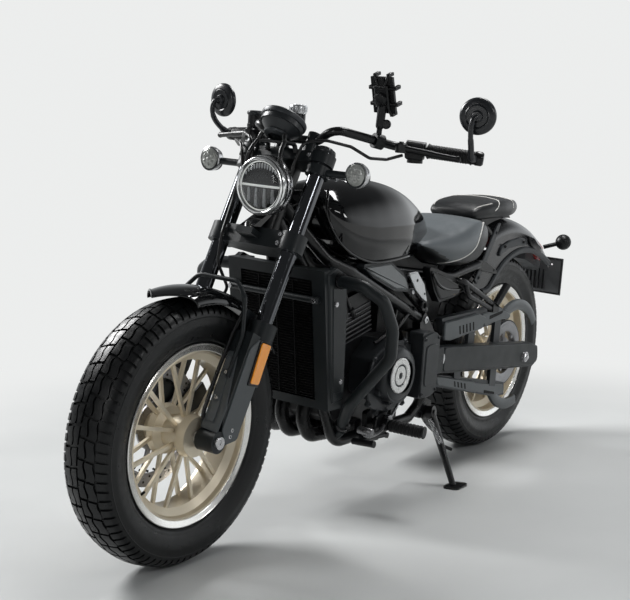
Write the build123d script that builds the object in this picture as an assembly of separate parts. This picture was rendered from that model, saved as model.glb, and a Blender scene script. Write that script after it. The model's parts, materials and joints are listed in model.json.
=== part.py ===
"""A cruiser motorcycle that leans on its side stand, as separate solids.

Every piece is drawn with the motorcycle upright: X forward, Y to the rider's left, Z up,
in millimetres, with the ground at Z = 0 halfway between the axles. The last section leans
the whole machine onto its stand and moves the origin to the middle of its footprint.
"""

import os
from math import asin, atan2, cos, hypot, radians, sin, tan

from build123d import *

# ---------------------------------------------------------------- driving sizes
WHEELBASE = 1500.0
LEAN_DEG = 5.0
RAKE_DEG = 27.0

FRONT_TYRE_R, FRONT_TYRE_W = 320.0, 134.0
REAR_TYRE_R, REAR_TYRE_W = 323.0, 152.0
RIM_FLANGE_R = 217.0
RIM_SEAT_R = 203.0
RIM_WALL = 6.0
TYRE_WALL, TYRE_CROWN, TYRE_SHOULDER = 9.0, 16.0, 26.0
FRONT_RIM_W, REAR_RIM_W = 100.0, 126.0

TUBE_AXIS_BACK = 42.0  # fork tubes behind the front axle, square to the steering axis
CLAMP_OFFSET = 26.0  # steering axis behind the fork tubes
FORK_SPREAD = 107.0  # fork tube centre from the middle plane
FORK_TUBE_R = 21.0
LOWER_CLAMP_U, LOWER_CLAMP_H = 515.0, 46.0  # heights along the steering axis
TOP_CLAMP_U, TOP_CLAMP_H = 740.0, 28.0
SIGNAL_CLAMP_U, SIGNAL_CLAMP_H = 709.0, 24.0
SIGNAL_Y, SIGNAL_R, SIGNAL_DEPTH = 227.0, 27.0, 26.0
STEM_R = 16.0
STEM_CLEAR = 0.05
HEAD_TUBE_R = 30.0

AXLE_R = 10.0
AXLE_CLEAR = 0.05
RUNNING_GAP = 5.0

FRAME_TUBE_R = 16.0
CRADLE_R = 15.0
CRASH_BAR_R = 16.0

BAR_R = 11.0
GRIP_R = 16.5

FRONT_FENDER_R, FRONT_FENDER_HALF = 348.0, 76.0
REAR_FENDER_HALF = 92.0
FENDER_WALL, FENDER_SKIRT = 4.0, 34.0

PLATE_HOLE_R = 3.5
PLATE_THICKNESS = 3.0

# ---------------------------------------------------------------- derived places
FRONT_AXLE = (WHEELBASE / 2, 0.0, FRONT_TYRE_R)
REAR_AXLE = (-WHEELBASE / 2, 0.0, REAR_TYRE_R)
STEER_V = -(TUBE_AXIS_BACK + CLAMP_OFFSET)
FORK_FRAME = Pos(*FRONT_AXLE) * Rot(0, -RAKE_DEG, 0)  # local X forward, local Z up the fork
GROUND_TILT = radians(LEAN_DEG)


# ---------------------------------------------------------------- small helpers
def fork_point(v, y, u):
    """World place of a point given v forward of the axle and u up along the fork."""
    rake = radians(RAKE_DEG)
    x = FRONT_AXLE[0] + v * cos(rake) - u * sin(rake)
    z = FRONT_AXLE[2] + v * sin(rake) + u * cos(rake)
    return (x, y, z)


def mirrored(point):
    return (point[0], -point[1], point[2])


def both(make):
    """The left piece that make(1) draws and the right piece that make(-1) draws."""
    return solids_of(make(1), make(-1))


def solids_of(*shapes):
    """One compound of every solid in the shapes."""
    return Compound([solid for shape in shapes for solid in shape.solids()])


def rod(start, end, radius):
    """A round bar from start to end."""
    a, b = Vector(*start), Vector(*end)
    plane = Plane(origin=a, z_dir=(b - a).normalized())
    return extrude(plane * Circle(radius), (b - a).length)


def cone(start, end, start_radius, end_radius):
    """A round bar that tapers from start to end."""
    a, b = Vector(*start), Vector(*end)
    plane = Plane(origin=a, z_dir=(b - a).normalized())
    body = Cone(
        start_radius,
        end_radius,
        (b - a).length,
        align=(Align.CENTER, Align.CENTER, Align.MIN),
    )
    return plane.location * body


def pipe(points, radius, bend):
    """A round tube along straight runs joined by bends of one radius or a list of them."""
    path = FilletPolyline(*points, radius=bend)
    section = Plane(origin=path @ 0, z_dir=path % 0) * Circle(radius)
    return sweep(section, path=path)


def outline(points, corner=0.0, grow=0.0):
    """A flat face from its corners, rounded by corner and then widened by grow."""
    face = make_face(Polyline(*points, close=True))
    if corner:
        face = fillet(face.vertices(), corner)
    if grow:
        face = offset(face, amount=grow)
    return face


def side_plate(points, y_low, y_high, corner=0.0, grow=0.0):
    """A plate of constant thickness whose outline is given as (x, z) corners."""
    plane = Plane(origin=(0, y_high, 0), x_dir=(1, 0, 0), z_dir=(0, -1, 0))
    return extrude(plane * outline(points, corner, grow), y_high - y_low)


def plan_plate(points, z_low, z_high, corner=0.0, grow=0.0):
    """A plate whose outline is given as (x, y) corners."""
    plane = Plane(origin=(0, 0, z_low), x_dir=(1, 0, 0), z_dir=(0, 0, 1))
    return extrude(plane * outline(points, corner, grow), z_high - z_low)


def disc(centre, radius, y_low, y_high):
    """A drum about a sideways axis through centre."""
    return rod((centre[0], y_low, centre[2]), (centre[0], y_high, centre[2]), radius)


def ring(centre, outer, inner, y_low, y_high):
    return disc(centre, outer, y_low, y_high) - disc(centre, inner, y_low - 1, y_high + 1)


def turned(centre, points):
    """A solid of revolution about the sideways axis; points are (y, radius)."""
    face = make_face(Polyline(*[(r, y) for y, r in points], close=True))
    plane = Plane(origin=centre, x_dir=(0, 0, 1), z_dir=(1, 0, 0))
    # The plane's local X is up and its local Y is the rider's left.
    body = revolve(plane * face, Axis(centre, (0, 1, 0)))
    return body


def block(low, high, corner=0.0):
    """A box from its lowest to its highest corner, with its long edges rounded."""
    size = [b - a for a, b in zip(low, high)]
    middle = [(a + b) / 2 for a, b in zip(low, high)]
    body = Pos(*middle) * Box(*size)
    if corner:
        body = fillet(body.edges().filter_by(Axis.Y), corner)
    return body


# ---------------------------------------------------------------- wheels
def tyre(centre, outer_r, width, rim_width):
    """A tyre casing, open towards the rim, from its beads to its crown."""
    half, seat = width / 2, rim_width / 2 - RIM_WALL
    shoulder_r = outer_r - TYRE_SHOULDER
    wall_r = (RIM_FLANGE_R + outer_r) / 2
    lip = RIM_FLANGE_R + 2
    wall = TYRE_WALL
    inner_r = outer_r - TYRE_CROWN
    bead = seat - 14
    plane = Plane(origin=centre, x_dir=(0, 0, 1), z_dir=(1, 0, 0))
    sides = []
    for side in (1, -1):
        sides += [
            Line((RIM_SEAT_R, side * bead), (RIM_SEAT_R, side * seat)),
            Line((RIM_SEAT_R, side * seat), (lip, side * seat)),
            Line((lip, side * seat), (lip + 6, side * (half - 14))),
            ThreePointArc(
                (lip + 6, side * (half - 14)),
                (wall_r, side * half),
                (shoulder_r, side * (half - 9)),
            ),
            Line((RIM_SEAT_R, side * bead), (lip + 4, side * bead)),
            ThreePointArc(
                (lip + 4, side * bead),
                (wall_r, side * (half - wall)),
                (shoulder_r - 6, side * (half - 9 - wall)),
            ),
        ]
    crown = [
        ThreePointArc((shoulder_r, half - 9), (outer_r, 0), (shoulder_r, 9 - half)),
        ThreePointArc(
            (shoulder_r - 6, half - 9 - wall), (inner_r, 0), (shoulder_r - 6, 9 + wall - half)
        ),
    ]
    return revolve(plane * make_face(sides + crown), Axis(centre, (0, 1, 0)))


SPOKE_PAIRS = 6
HUB_SPLAY_DEG, RIM_SPLAY_DEG = 8.0, 15.0
SPOKE_W, SPOKE_T = 9.0, 8.0


def wheel(centre, rim_width, hub_profile, hub_spoke_r, spoke_ys):
    """A cast wheel: a dropped rim, a hub and pairs of splayed spokes on both sides."""
    half = rim_width / 2
    seat = half - RIM_WALL
    well_half, well_r = 24.0, RIM_SEAT_R - 20
    rim = turned(
        centre,
        [
            (-half, RIM_FLANGE_R),
            (-seat, RIM_FLANGE_R),
            (-seat, RIM_SEAT_R),
            (-well_half - 12, RIM_SEAT_R),
            (-well_half, well_r),
            (well_half, well_r),
            (well_half + 12, RIM_SEAT_R),
            (seat, RIM_SEAT_R),
            (seat, RIM_FLANGE_R),
            (half, RIM_FLANGE_R),
            (half, RIM_SEAT_R - RIM_WALL),
            (well_half + 14, RIM_SEAT_R - RIM_WALL - 3),
            (well_half + 2, well_r - RIM_WALL),
            (-well_half - 2, well_r - RIM_WALL),
            (-well_half - 14, RIM_SEAT_R - RIM_WALL - 3),
            (-half, RIM_SEAT_R - RIM_WALL),
        ],
    )
    body = rim + turned(centre, hub_profile)
    rim_r = well_r - RIM_WALL + 2
    for side in (1, -1):
        for pair in range(SPOKE_PAIRS):
            middle = pair * 360 / SPOKE_PAIRS + (0 if side > 0 else 180 / SPOKE_PAIRS)
            for splay in (1, -1):
                hub_a = radians(middle + splay * HUB_SPLAY_DEG)
                rim_a = radians(middle + splay * RIM_SPLAY_DEG)
                start = Vector(
                    centre[0] + hub_spoke_r * sin(hub_a),
                    side * spoke_ys[0],
                    centre[2] + hub_spoke_r * cos(hub_a),
                )
                end = Vector(
                    centre[0] + rim_r * sin(rim_a),
                    side * spoke_ys[1],
                    centre[2] + rim_r * cos(rim_a),
                )
                plane = Plane(origin=start, x_dir=(0, 1, 0), z_dir=(end - start).normalized())
                body += extrude(plane * Rectangle(SPOKE_T, SPOKE_W), (end - start).length)
    bore = disc(centre, AXLE_R + AXLE_CLEAR, -300, 300)
    return body - bore


FRONT_HUB_HALF, FRONT_DISC_R, FRONT_DISC_T = 66.0, 150.0, 5.0
FRONT_DISC_Y = -(FRONT_HUB_HALF + FRONT_DISC_T / 2)
REAR_HUB_HALF, REAR_DISC_R, REAR_DISC_T = 82.0, 120.0, 5.0
REAR_DISC_Y = -(REAR_HUB_HALF + REAR_DISC_T / 2)
PULLEY_LOW_Y, PULLEY_HIGH_Y, PULLEY_R = REAR_HUB_HALF, REAR_HUB_HALF + 20.0, 104.0


def front_wheel():
    hub = [
        (-FRONT_HUB_HALF, 0),
        (-FRONT_HUB_HALF, 48),
        (-44, 52),
        (-36, 40),
        (10, 40),
        (20, 58),
        (36, 62),
        (40, 44),
        (FRONT_HUB_HALF, 38),
        (FRONT_HUB_HALF, 0),
    ]
    return wheel(FRONT_AXLE, FRONT_RIM_W, hub, 44.0, (28.0, 20.0))


def rear_wheel():
    hub = [
        (-REAR_HUB_HALF, 0),
        (-REAR_HUB_HALF, 50),
        (-50, 54),
        (-40, 40),
        (30, 40),
        (44, 62),
        (REAR_HUB_HALF, 62),
        (REAR_HUB_HALF, 0),
    ]
    return wheel(REAR_AXLE, REAR_RIM_W, hub, 48.0, (36.0, 22.0))


def brake_disc(centre, outer, y, thickness, carrier_r, bore_r):
    """A drilled disc and its five-armed carrier, in one plate."""
    low, high = y - thickness / 2, y + thickness / 2
    body = ring(centre, outer, outer - 34, low, high) + ring(centre, carrier_r, bore_r, low, high)
    for k in range(5):
        angle = radians(72 * k + 20)
        middle = (carrier_r + outer - 34) / 2
        plane = Plane(
            origin=(centre[0] + middle * sin(angle), low, centre[2] + middle * cos(angle)),
            x_dir=(sin(angle), 0, cos(angle)),
            z_dir=(0, 1, 0),
        )
        body += extrude(plane * Rectangle(outer - 26 - carrier_r, 14), thickness)
    return body


def front_disc():
    return brake_disc(FRONT_AXLE, FRONT_DISC_R, FRONT_DISC_Y, FRONT_DISC_T, 60, 30)


def rear_disc():
    return brake_disc(REAR_AXLE, REAR_DISC_R, REAR_DISC_Y, REAR_DISC_T, 60, 26)


def rear_pulley():
    body = ring(REAR_AXLE, PULLEY_R, PULLEY_R - 16, PULLEY_LOW_Y, PULLEY_HIGH_Y)
    body += ring(REAR_AXLE, 50, AXLE_R + 8, PULLEY_LOW_Y, PULLEY_LOW_Y + 12)
    for k in range(5):
        angle = radians(72 * k)
        plane = Plane(
            origin=(REAR_AXLE[0] + 70 * sin(angle), PULLEY_LOW_Y, REAR_AXLE[2] + 70 * cos(angle)),
            x_dir=(sin(angle), 0, cos(angle)),
            z_dir=(0, 1, 0),
        )
        body += extrude(plane * Rectangle(48, 18), 12)
    return body


# ---------------------------------------------------------------- fork and steering
LEG_INNER_Y, LEG_OUTER_Y = 79.0, 131.0
LEG_BACK_V, LEG_FRONT_V = -64.0, 16.0
LEG_TOP_U = 268.0
COLLAR_R, COLLAR_TOP_U = 35.0, 306.0
FORK_CAP_R, FORK_CAP_H, FORK_CAP_RISE = 27.0, 12.0, 2.0
AXLE_LUG_R = 26.0


def fork_leg(side):
    """A lower leg with its axle lug, its collar and the bore for the inner tube."""
    low, high = sorted((side * LEG_INNER_Y, side * LEG_OUTER_Y))
    body = side_plate(
        [
            (LEG_BACK_V, LEG_TOP_U),
            (LEG_FRONT_V, LEG_TOP_U),
            (LEG_FRONT_V, 60),
            (LEG_FRONT_V - 14, 22),
            (LEG_BACK_V + 10, 22),
            (LEG_BACK_V + 10, 140),
            (LEG_BACK_V, 160),
        ],
        low,
        high,
    )
    body += disc((0, 0, 0), AXLE_LUG_R, low, high)
    body += side_plate([(-44, 30), (0, 30), (22, 0), (0, -AXLE_LUG_R + 4), (-30, 4)], low, high)
    collar = Pos(-TUBE_AXIS_BACK, side * FORK_SPREAD, LEG_TOP_U - 8) * Cylinder(
        COLLAR_R, COLLAR_TOP_U - LEG_TOP_U + 8, align=(Align.CENTER, Align.CENTER, Align.MIN)
    )
    body += collar & Pos(-TUBE_AXIS_BACK, side * (LEG_INNER_Y + 100), LEG_TOP_U) * Box(200, 200, 200)
    bore = Pos(-TUBE_AXIS_BACK, side * FORK_SPREAD, 60) * Cylinder(
        FORK_TUBE_R, 400, align=(Align.CENTER, Align.CENTER, Align.MIN)
    )
    body -= bore
    body -= disc((0, 0, 0), AXLE_R, low - 1, high + 1)
    return FORK_FRAME * body


def fork_tube(side):
    top = TOP_CLAMP_U + TOP_CLAMP_H / 2 + FORK_CAP_RISE
    body = Pos(-TUBE_AXIS_BACK, side * FORK_SPREAD, 60) * Cylinder(
        FORK_TUBE_R, top - 60, align=(Align.CENTER, Align.CENTER, Align.MIN)
    )
    body += Pos(-TUBE_AXIS_BACK, side * FORK_SPREAD, top) * Cylinder(
        FORK_CAP_R, FORK_CAP_H, align=(Align.CENTER, Align.CENTER, Align.MIN)
    )
    return FORK_FRAME * body


def clamp_plate(u, height, ear_r):
    """A yoke that grips both fork tubes and the stem."""
    ears = [(-TUBE_AXIS_BACK, FORK_SPREAD), (-TUBE_AXIS_BACK, -FORK_SPREAD)]
    low = u - height / 2
    base = Plane(origin=(0, 0, low), x_dir=(1, 0, 0), z_dir=(0, 0, 1))
    body = extrude(
        base
        * outline(
            [
                (-TUBE_AXIS_BACK - 22, -FORK_SPREAD),
                (-TUBE_AXIS_BACK + 18, -FORK_SPREAD),
                (-TUBE_AXIS_BACK + 26, -30),
                (-TUBE_AXIS_BACK + 26, 30),
                (-TUBE_AXIS_BACK + 18, FORK_SPREAD),
                (-TUBE_AXIS_BACK - 22, FORK_SPREAD),
                (STEER_V - 28, 30),
                (STEER_V - 28, -30),
            ]
        ),
        height,
    )
    for v, y in ears:
        body += Pos(v, y, u) * Cylinder(ear_r, height)
    for v, y in ears:
        body -= Pos(v, y, u) * Cylinder(FORK_TUBE_R, height + 40)
    return body


def lower_clamp():
    """The lower yoke with the steering stem that turns in the head tube."""
    body = clamp_plate(LOWER_CLAMP_U, LOWER_CLAMP_H, 33)
    low = LOWER_CLAMP_U - LOWER_CLAMP_H / 2
    stem_top = TOP_CLAMP_U - TOP_CLAMP_H / 2
    body += Pos(STEER_V, 0, low) * Cylinder(
        STEM_R, stem_top - low, align=(Align.CENTER, Align.CENTER, Align.MIN)
    )
    # A tongue under the headlight carries its bracket.
    body += Pos(-TUBE_AXIS_BACK + 40, 0, LOWER_CLAMP_U) * Box(44, 50, 16)
    return FORK_FRAME * body


RISER_V, RISER_Y, RISER_TOP_U = STEER_V + 6.0, 45.0, 800.0


def top_clamp():
    """The upper yoke, the signal clamps under it and the two handlebar risers."""
    body = clamp_plate(TOP_CLAMP_U, TOP_CLAMP_H, 33)
    top = TOP_CLAMP_U + TOP_CLAMP_H / 2
    for side in (1, -1):
        body += Pos(RISER_V, side * RISER_Y, top) * Cylinder(
            17, RISER_TOP_U + 18 - top, align=(Align.CENTER, Align.CENTER, Align.MIN)
        )
    bar_cut = Pos(RISER_V, 0, RISER_TOP_U) * Rot(90, 0, 0) * Cylinder(BAR_R, 130)
    return FORK_FRAME * (body - bar_cut)


def front_signals():
    """Round signals that face forward, each on an arm from a split ring on its fork tube."""

    def one(side):
        y = side * FORK_SPREAD
        collar = Pos(-TUBE_AXIS_BACK, y, SIGNAL_CLAMP_U) * Cylinder(30, SIGNAL_CLAMP_H)
        collar += rod(
            (-TUBE_AXIS_BACK, side * (FORK_SPREAD + 22), SIGNAL_CLAMP_U),
            (-TUBE_AXIS_BACK, side * (SIGNAL_Y - 4), SIGNAL_CLAMP_U),
            9,
        )
        collar -= Pos(-TUBE_AXIS_BACK, y, SIGNAL_CLAMP_U) * Cylinder(FORK_TUBE_R, 60)
        x, _, z = fork_point(-TUBE_AXIS_BACK, 0, SIGNAL_CLAMP_U)
        y = side * SIGNAL_Y
        front, back = x + SIGNAL_DEPTH * 0.6, x - SIGNAL_DEPTH * 0.4
        body = rod((back, y, z), (front, y, z), SIGNAL_R)
        body += cone((back - 16, y, z), (back, y, z), 14, SIGNAL_R - 4)
        return FORK_FRAME * collar + body

    return both(one)


def front_axle():
    """The wheel spindle with its head, nut and the two spacers beside the hub."""
    low, high = -(LEG_OUTER_Y + 6), LEG_OUTER_Y + 6
    body = disc(FRONT_AXLE, AXLE_R, low, high)
    body += disc(FRONT_AXLE, 15, LEG_OUTER_Y, high)
    body += disc(FRONT_AXLE, 15, low, -LEG_OUTER_Y)
    body += disc(FRONT_AXLE, 17, FRONT_HUB_HALF + 1, LEG_INNER_Y)
    body += disc(FRONT_AXLE, 16, -LEG_INNER_Y, -(FRONT_HUB_HALF + 1))
    return body


def arch_band(centre, outer, wall, half, start_deg, end_deg, skirt):
    """A fender: a curved roof with side skirts, between two angles from straight up.

    Positive angles are forward of the wheel's top.
    """
    shoulder = 26.0
    section = make_face(
        [
            Line((outer - skirt, -half), (outer - shoulder, -half)),
            ThreePointArc((outer - shoulder, -half), (outer, 0), (outer - shoulder, half)),
            Line((outer - shoulder, half), (outer - skirt, half)),
            Line((outer - skirt, half), (outer - skirt, half - wall)),
            Line((outer - skirt, half - wall), (outer - shoulder, half - wall)),
            ThreePointArc(
                (outer - shoulder, half - wall),
                (outer - wall, 0),
                (outer - shoulder, -(half - wall)),
            ),
            Line((outer - shoulder, -(half - wall)), (outer - skirt, -(half - wall))),
            Line((outer - skirt, -(half - wall)), (outer - skirt, -half)),
        ]
    )
    plane = Plane(origin=centre, x_dir=(0, 0, 1), z_dir=(1, 0, 0))
    body = revolve(plane * section, Axis(centre, (0, 1, 0)), revolution_arc=start_deg - end_deg)
    # A turn about +Y carries "up" forward, so the band is set back to its rear end.
    return Pos(*centre) * Rot(0, end_deg, 0) * Pos(*[-c for c in centre]) * body


HOOP_R = 5.5
TAB_LOW_U, TAB_HIGH_U = 200.0, 330.0


def front_fender():
    """The fender with its pointed nose and the two tabs bolted inside the fork legs."""
    body = arch_band(
        FRONT_AXLE, FRONT_FENDER_R, FENDER_WALL, FRONT_FENDER_HALF, 17.5, -60, FENDER_SKIRT
    )
    for side in (1, -1):
        nose = [(858, side * 6), (786, side * 80), (900, side * 90)]
        body -= plan_plate(nose, 500, 720)
        low, high = sorted((side * (LEG_INNER_Y - 5), side * LEG_INNER_Y))
        tab = [(-44, TAB_LOW_U), (-14, TAB_LOW_U), (0, TAB_HIGH_U), (-60, TAB_HIGH_U)]
        body += FORK_FRAME * side_plate(tab, low, high)
    return body


def fork_brace():
    """The hoop over the fender that ties the two fork legs together at their front edges."""
    left = [
        fork_point(LEG_FRONT_V + HOOP_R, FORK_SPREAD, 150),
        fork_point(LEG_FRONT_V + HOOP_R, FORK_SPREAD, 255),
        (632, 92, 642),
        (622, 60, 676),
    ]
    hoop = left + [mirrored(p) for p in left[::-1]]
    return pipe(hoop, HOOP_R, [60, 30, 30, 30, 30, 60])


HEADLIGHT_R, HEADLIGHT_DEPTH = 70.0, 70.0
HEADLIGHT_V, HEADLIGHT_U = 22.0, 630.0


def headlight_place():
    x, _, z = fork_point(HEADLIGHT_V, 0, HEADLIGHT_U)
    return x, z


def headlight():
    """The round lamp's bowl and rim with its lens recess, and the bracket below it."""
    x, z = headlight_place()
    bowl = cone((x - HEADLIGHT_DEPTH, 0, z), (x - 30, 0, z), 40, HEADLIGHT_R - 4)
    rim = rod((x - 30, 0, z), (x, 0, z), HEADLIGHT_R + 2)
    body = bowl + rim - rod((x - 14, 0, z), (x + 1, 0, z), HEADLIGHT_R - 8)
    foot = fork_point(-TUBE_AXIS_BACK + 44, 0, LOWER_CLAMP_U + 8)
    bracket = side_plate(
        [
            (foot[0] - 12, foot[2] + 1),
            (foot[0] + 14, foot[2] + 8),
            (x - 34, z - HEADLIGHT_R + 8),
            (x - 60, z - HEADLIGHT_R + 14),
        ],
        -20,
        20,
    )
    return body + bracket


def headlight_lens():
    x, z = headlight_place()
    return rod((x - 14, 0, z), (x - 1, 0, z), HEADLIGHT_R - 8)


POD_R = 55.0
POD_PLACE = (408.0, 0.0, 1036.0)
POD_TILT_DEG = -34.0  # the dial's face leans back towards the rider


def instrument_pod():
    """A round gauge on a short neck that stands on the top yoke."""
    frame = Pos(*POD_PLACE) * Rot(0, POD_TILT_DEG, 0)
    body = frame * Pos(0, 0, 8) * Cylinder(POD_R, 24)
    body += frame * Pos(0, 0, -16) * Cone(26, POD_R - 3, 26)
    tilt = radians(POD_TILT_DEG)
    root = (POD_PLACE[0] - 20 * sin(tilt), 0, POD_PLACE[2] - 20 * cos(tilt))
    foot = fork_point(-TUBE_AXIS_BACK + 8, 0, TOP_CLAMP_U + TOP_CLAMP_H / 2 - 6)
    body += rod(foot, root, 12)
    keep = FORK_FRAME * Pos(0, 0, TOP_CLAMP_U) * Box(400, 400, TOP_CLAMP_H)
    return body - keep


# Handlebar centreline on the left, from the riser to the bar end: (x, y, z).
BAR_POINTS = [(0, 62, 0), (352, 118, 1040), (192, 205, 1003), (108, 392, 989)]


def bar_path():
    centre = fork_point(RISER_V, 0, RISER_TOP_U)
    left = [(centre[0], BAR_POINTS[0][1], centre[2])] + BAR_POINTS[1:]
    return left[::-1] + [mirrored(p) for p in left]


def bar_spot(share, side=1):
    """A point on the straight grip part, from 0 at its inner bend to 1 at the bar end."""
    a, b = BAR_POINTS[2], BAR_POINTS[3]
    x, y, z = [p + (q - p) * share for p, q in zip(a, b)]
    return (x, side * y, z)


def handlebar():
    points = bar_path()
    return pipe(points, BAR_R, [60, 34, 34, 34, 34, 60])


GRIP_START, GRIP_END = 0.38, 0.97
LEVER_SHARE, LEVER_REACH = 0.92, 66.0


def grips():
    def one(side):
        start, end = bar_spot(GRIP_START, side), bar_spot(GRIP_END, side)
        body = rod(start, end, GRIP_R) - rod(bar_spot(0.1, side), bar_spot(1.3, side), BAR_R)
        return body

    return both(one)


def hand_controls():
    """Switch blocks, the lever perches and levers, the brake reservoir."""

    def one(side):
        start, end = bar_spot(0.12, side), bar_spot(0.36, side)
        middle = bar_spot(0.24, side)
        block_r = 21.0
        body = rod(start, end, block_r)
        body += rod(
            (middle[0], middle[1], middle[2] - 34), (middle[0], middle[1], middle[2]), 20
        )
        perch = bar_spot(0.16, side)
        knuckle = (perch[0] + 46, perch[1] + side * 4, perch[2] + 2)
        body += rod(perch, knuckle, 10)
        body += rod(
            (knuckle[0], knuckle[1], knuckle[2] - 9), (knuckle[0], knuckle[1], knuckle[2] + 9), 13
        )
        reach = bar_spot(LEVER_SHARE, side)
        tip = (reach[0] + LEVER_REACH, reach[1], reach[2] - 4)
        body += cone(knuckle, tip, 8, 6)
        body += Pos(*tip) * Sphere(8)
        if side < 0:
            cup = (middle[0] + 26, middle[1] + 8, middle[2])
            body += rod(cup, (cup[0], cup[1], cup[2] + 40), 20)
        return body - rod(bar_spot(0.0, side), bar_spot(1.2, side), BAR_R)

    return both(one)


MIRROR_R = 42.0


def mirrors():
    """Round mirrors that stand up from clamps on the bar ends."""

    def one(side):
        root = bar_spot(1.03, side)
        inner = bar_spot(0.985, side)
        x, y, z = root
        elbow = (x + 10, y + side * 14, z + 56)
        head = (x + 24, y + side * 4, z + 101)
        body = rod(inner, bar_spot(1.05, side), 15)
        body += cone((x, y, z), elbow, 8, 6.5)
        body += Pos(*elbow) * Sphere(6.5)
        body += rod(elbow, (head[0] + 4, head[1], head[2]), 6.5)
        plane = Plane(origin=head, z_dir=Vector(-1, -side * 0.12, 0.05).normalized())
        shell = plane.location * Cylinder(MIRROR_R, 10)
        shell += plane.location * Pos(0, 0, -9) * Cone(20, MIRROR_R - 6, 10).rotate(Axis.X, 0)
        body += shell
        bar = rod(bar_spot(0.5, side), bar_spot(1.0, side), BAR_R)
        return body - bar

    return both(one)


PHONE_CLAMP_SHARE = 0.70  # along the bar's falling part, outboard of its peak
PHONE_PLACE = (243.0, 188.0, 1130.0)
PHONE_PLATE = (64.0, 92.0, 8.0)


def phone_holder():
    """A bar clamp, a ball arm and a claw cradle that faces the rider."""
    a, b = BAR_POINTS[1], BAR_POINTS[2]
    spot = [p + (q - p) * PHONE_CLAMP_SHARE for p, q in zip(a, b)]
    along = Vector(*[q - p for p, q in zip(a, b)]).normalized()
    root = Vector(*spot)
    body = rod(tuple(root - along * 13), tuple(root + along * 13), 19)
    post_top = (spot[0] + 4, spot[1] + 5, 1054.0)
    body += rod(tuple(spot), post_top, 7)
    body += Pos(*post_top) * Sphere(11)
    body += rod(post_top, (PHONE_PLACE[0] + 2, PHONE_PLACE[1], PHONE_PLACE[2] - 16), 11)
    frame = Pos(*PHONE_PLACE) * Rot(0, -72, 0)
    width, height, thick = PHONE_PLATE
    # In the cradle's own frame X runs up the plate, Y across it and Z towards the rider.
    body += frame * Box(height, width, thick)
    for u, w in ((1, 0.5), (1, -0.5), (-1, 0.5), (-1, -0.5)):
        body += frame * Pos(u * (height / 2 + 4), w * width * 0.6, 7) * Box(8, 9, 22)
    for u in (0.2, -0.25):
        for w in (1, -1):
            body += frame * Pos(u * height, w * (width / 2 + 4), 7) * Box(9, 8, 22)
    return body - rod(tuple(root - along * 60), tuple(root + along * 60), BAR_R)


def front_caliper():
    """A two-piston caliper over the front disc, on the right leg's back edge."""
    y = FRONT_DISC_Y
    centre = (-92.0, 0, 92.0)
    body = Pos(centre[0], y - 1, centre[2]) * Rot(0, -28, 0) * Box(46, 44, 96)
    slot = ring((0, 0, 0), FRONT_DISC_R + 4, 90, y - 6, y + 6)
    body -= slot
    body += Pos(LEG_BACK_V - 4, -(LEG_INNER_Y + 12), 84) * Box(30, 16, 70)
    body -= disc((0, 0, 0), FRONT_DISC_R + 4, y - 6, y + 6)
    leg = side_plate(
        [(LEG_BACK_V, 300), (60, 300), (60, -40), (LEG_BACK_V, -40)],
        -LEG_OUTER_Y - 1,
        -LEG_INNER_Y,
    )
    return FORK_FRAME * (body - leg)


CABLE_R = 4.0


def control_cables():
    """The left loom, the throttle cable and the front brake hose, which turn with the fork."""
    loom = [
        (212, 236, 984),
        (250, 214, 972),
        (300, 196, 974),
        (344, 168, 1000),
        (392, 128, 1012),
        (424, 82, 1004),
        (430, 66, 960),
        (440, 60, 916),
        (446, 34, 892),
    ]
    throttle = [mirrored(p) for p in loom]
    hose = [
        (232, -246, 1000),
        (300, -214, 972),
        (372, -170, 990),
        (424, -108, 984),
        (444, -86, 930),
        (474, -86, 850),
        (530, -70, 770),
        (552, -62, 700),
        (500, -66, 628),
        (518, -100, 572),
        (545, -106, 510),
        (580, -106, 455),
        (612, -100, 412),
    ]
    loom_bends = [20, 26, 26, 30, 26, 24, 14]
    return [
        pipe(loom, CABLE_R, loom_bends),
        pipe(throttle, CABLE_R, loom_bends),
        pipe(hose, CABLE_R, [40, 40, 40, 30, 40, 30, 30, 26, 20, 40, 40]),
    ]


# ---------------------------------------------------------------- frame
PIVOT = (-195.0, 0.0, 392.0)
PIVOT_BOLT_R = 12.0
UPPER_RAIL_Y = 118.0
CRADLE_Y, CRADLE_Z = 104.0, 212.0
PIVOT_PLATE_LOW_Y, PIVOT_PLATE_HIGH_Y = 110.0, 136.0
SEAT_RAIL_Y, SEAT_RAIL_R = 106.0, 13.0
SEAT_PAD_Z = 641.7
TANK_BASE_Z = 694.0
SEAT_GAP = 0.3
BACKBONE_Z, BACKBONE_R = 673.0, 18.0


def side_tubes(side):
    """One side's frame tubes as (corner points, tube radius, bend radii)."""
    head_low = fork_point(STEER_V - 8, 0, 584)
    head_mid = fork_point(STEER_V - 10, 0, 622)
    rail_y, brace_y = side * UPPER_RAIL_Y, side * (UPPER_RAIL_Y + 3)
    upper = [
        (head_mid[0], side * 14, head_mid[2]),
        (304, side * 92, 708),
        (232, rail_y, 676),
        (-150, rail_y, 506),
        (-196, rail_y, 440),
    ]
    brace = [(84, side * 40, 668), (40, brace_y, 664), (-164, brace_y, 530)]
    down = [
        (head_low[0], side * 14, head_low[2]),
        (316, side * 62, 640),
        (262, side * 84, 310),
        (232, side * CRADLE_Y, CRADLE_Z),
        (-150, side * CRADLE_Y, CRADLE_Z),
        (-200, side * CRADLE_Y, 240),
        (-205, side * 121, 290),
        (-205, side * 121, 420),
    ]
    seat_rail = [
        (30, side * 84, 662),
        (-120, side * 84, 640),
        (-330, side * SEAT_RAIL_Y, 612),
        (-500, side * SEAT_RAIL_Y, 634),
    ]
    return [
        (upper, FRAME_TUBE_R, [60, 60, 60]),
        (brace, 13.0, [20]),
        (down, CRADLE_R, [80, 60, 50, 30, 20, 30]),
        (seat_rail, SEAT_RAIL_R, [80, 80]),
    ]


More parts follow.
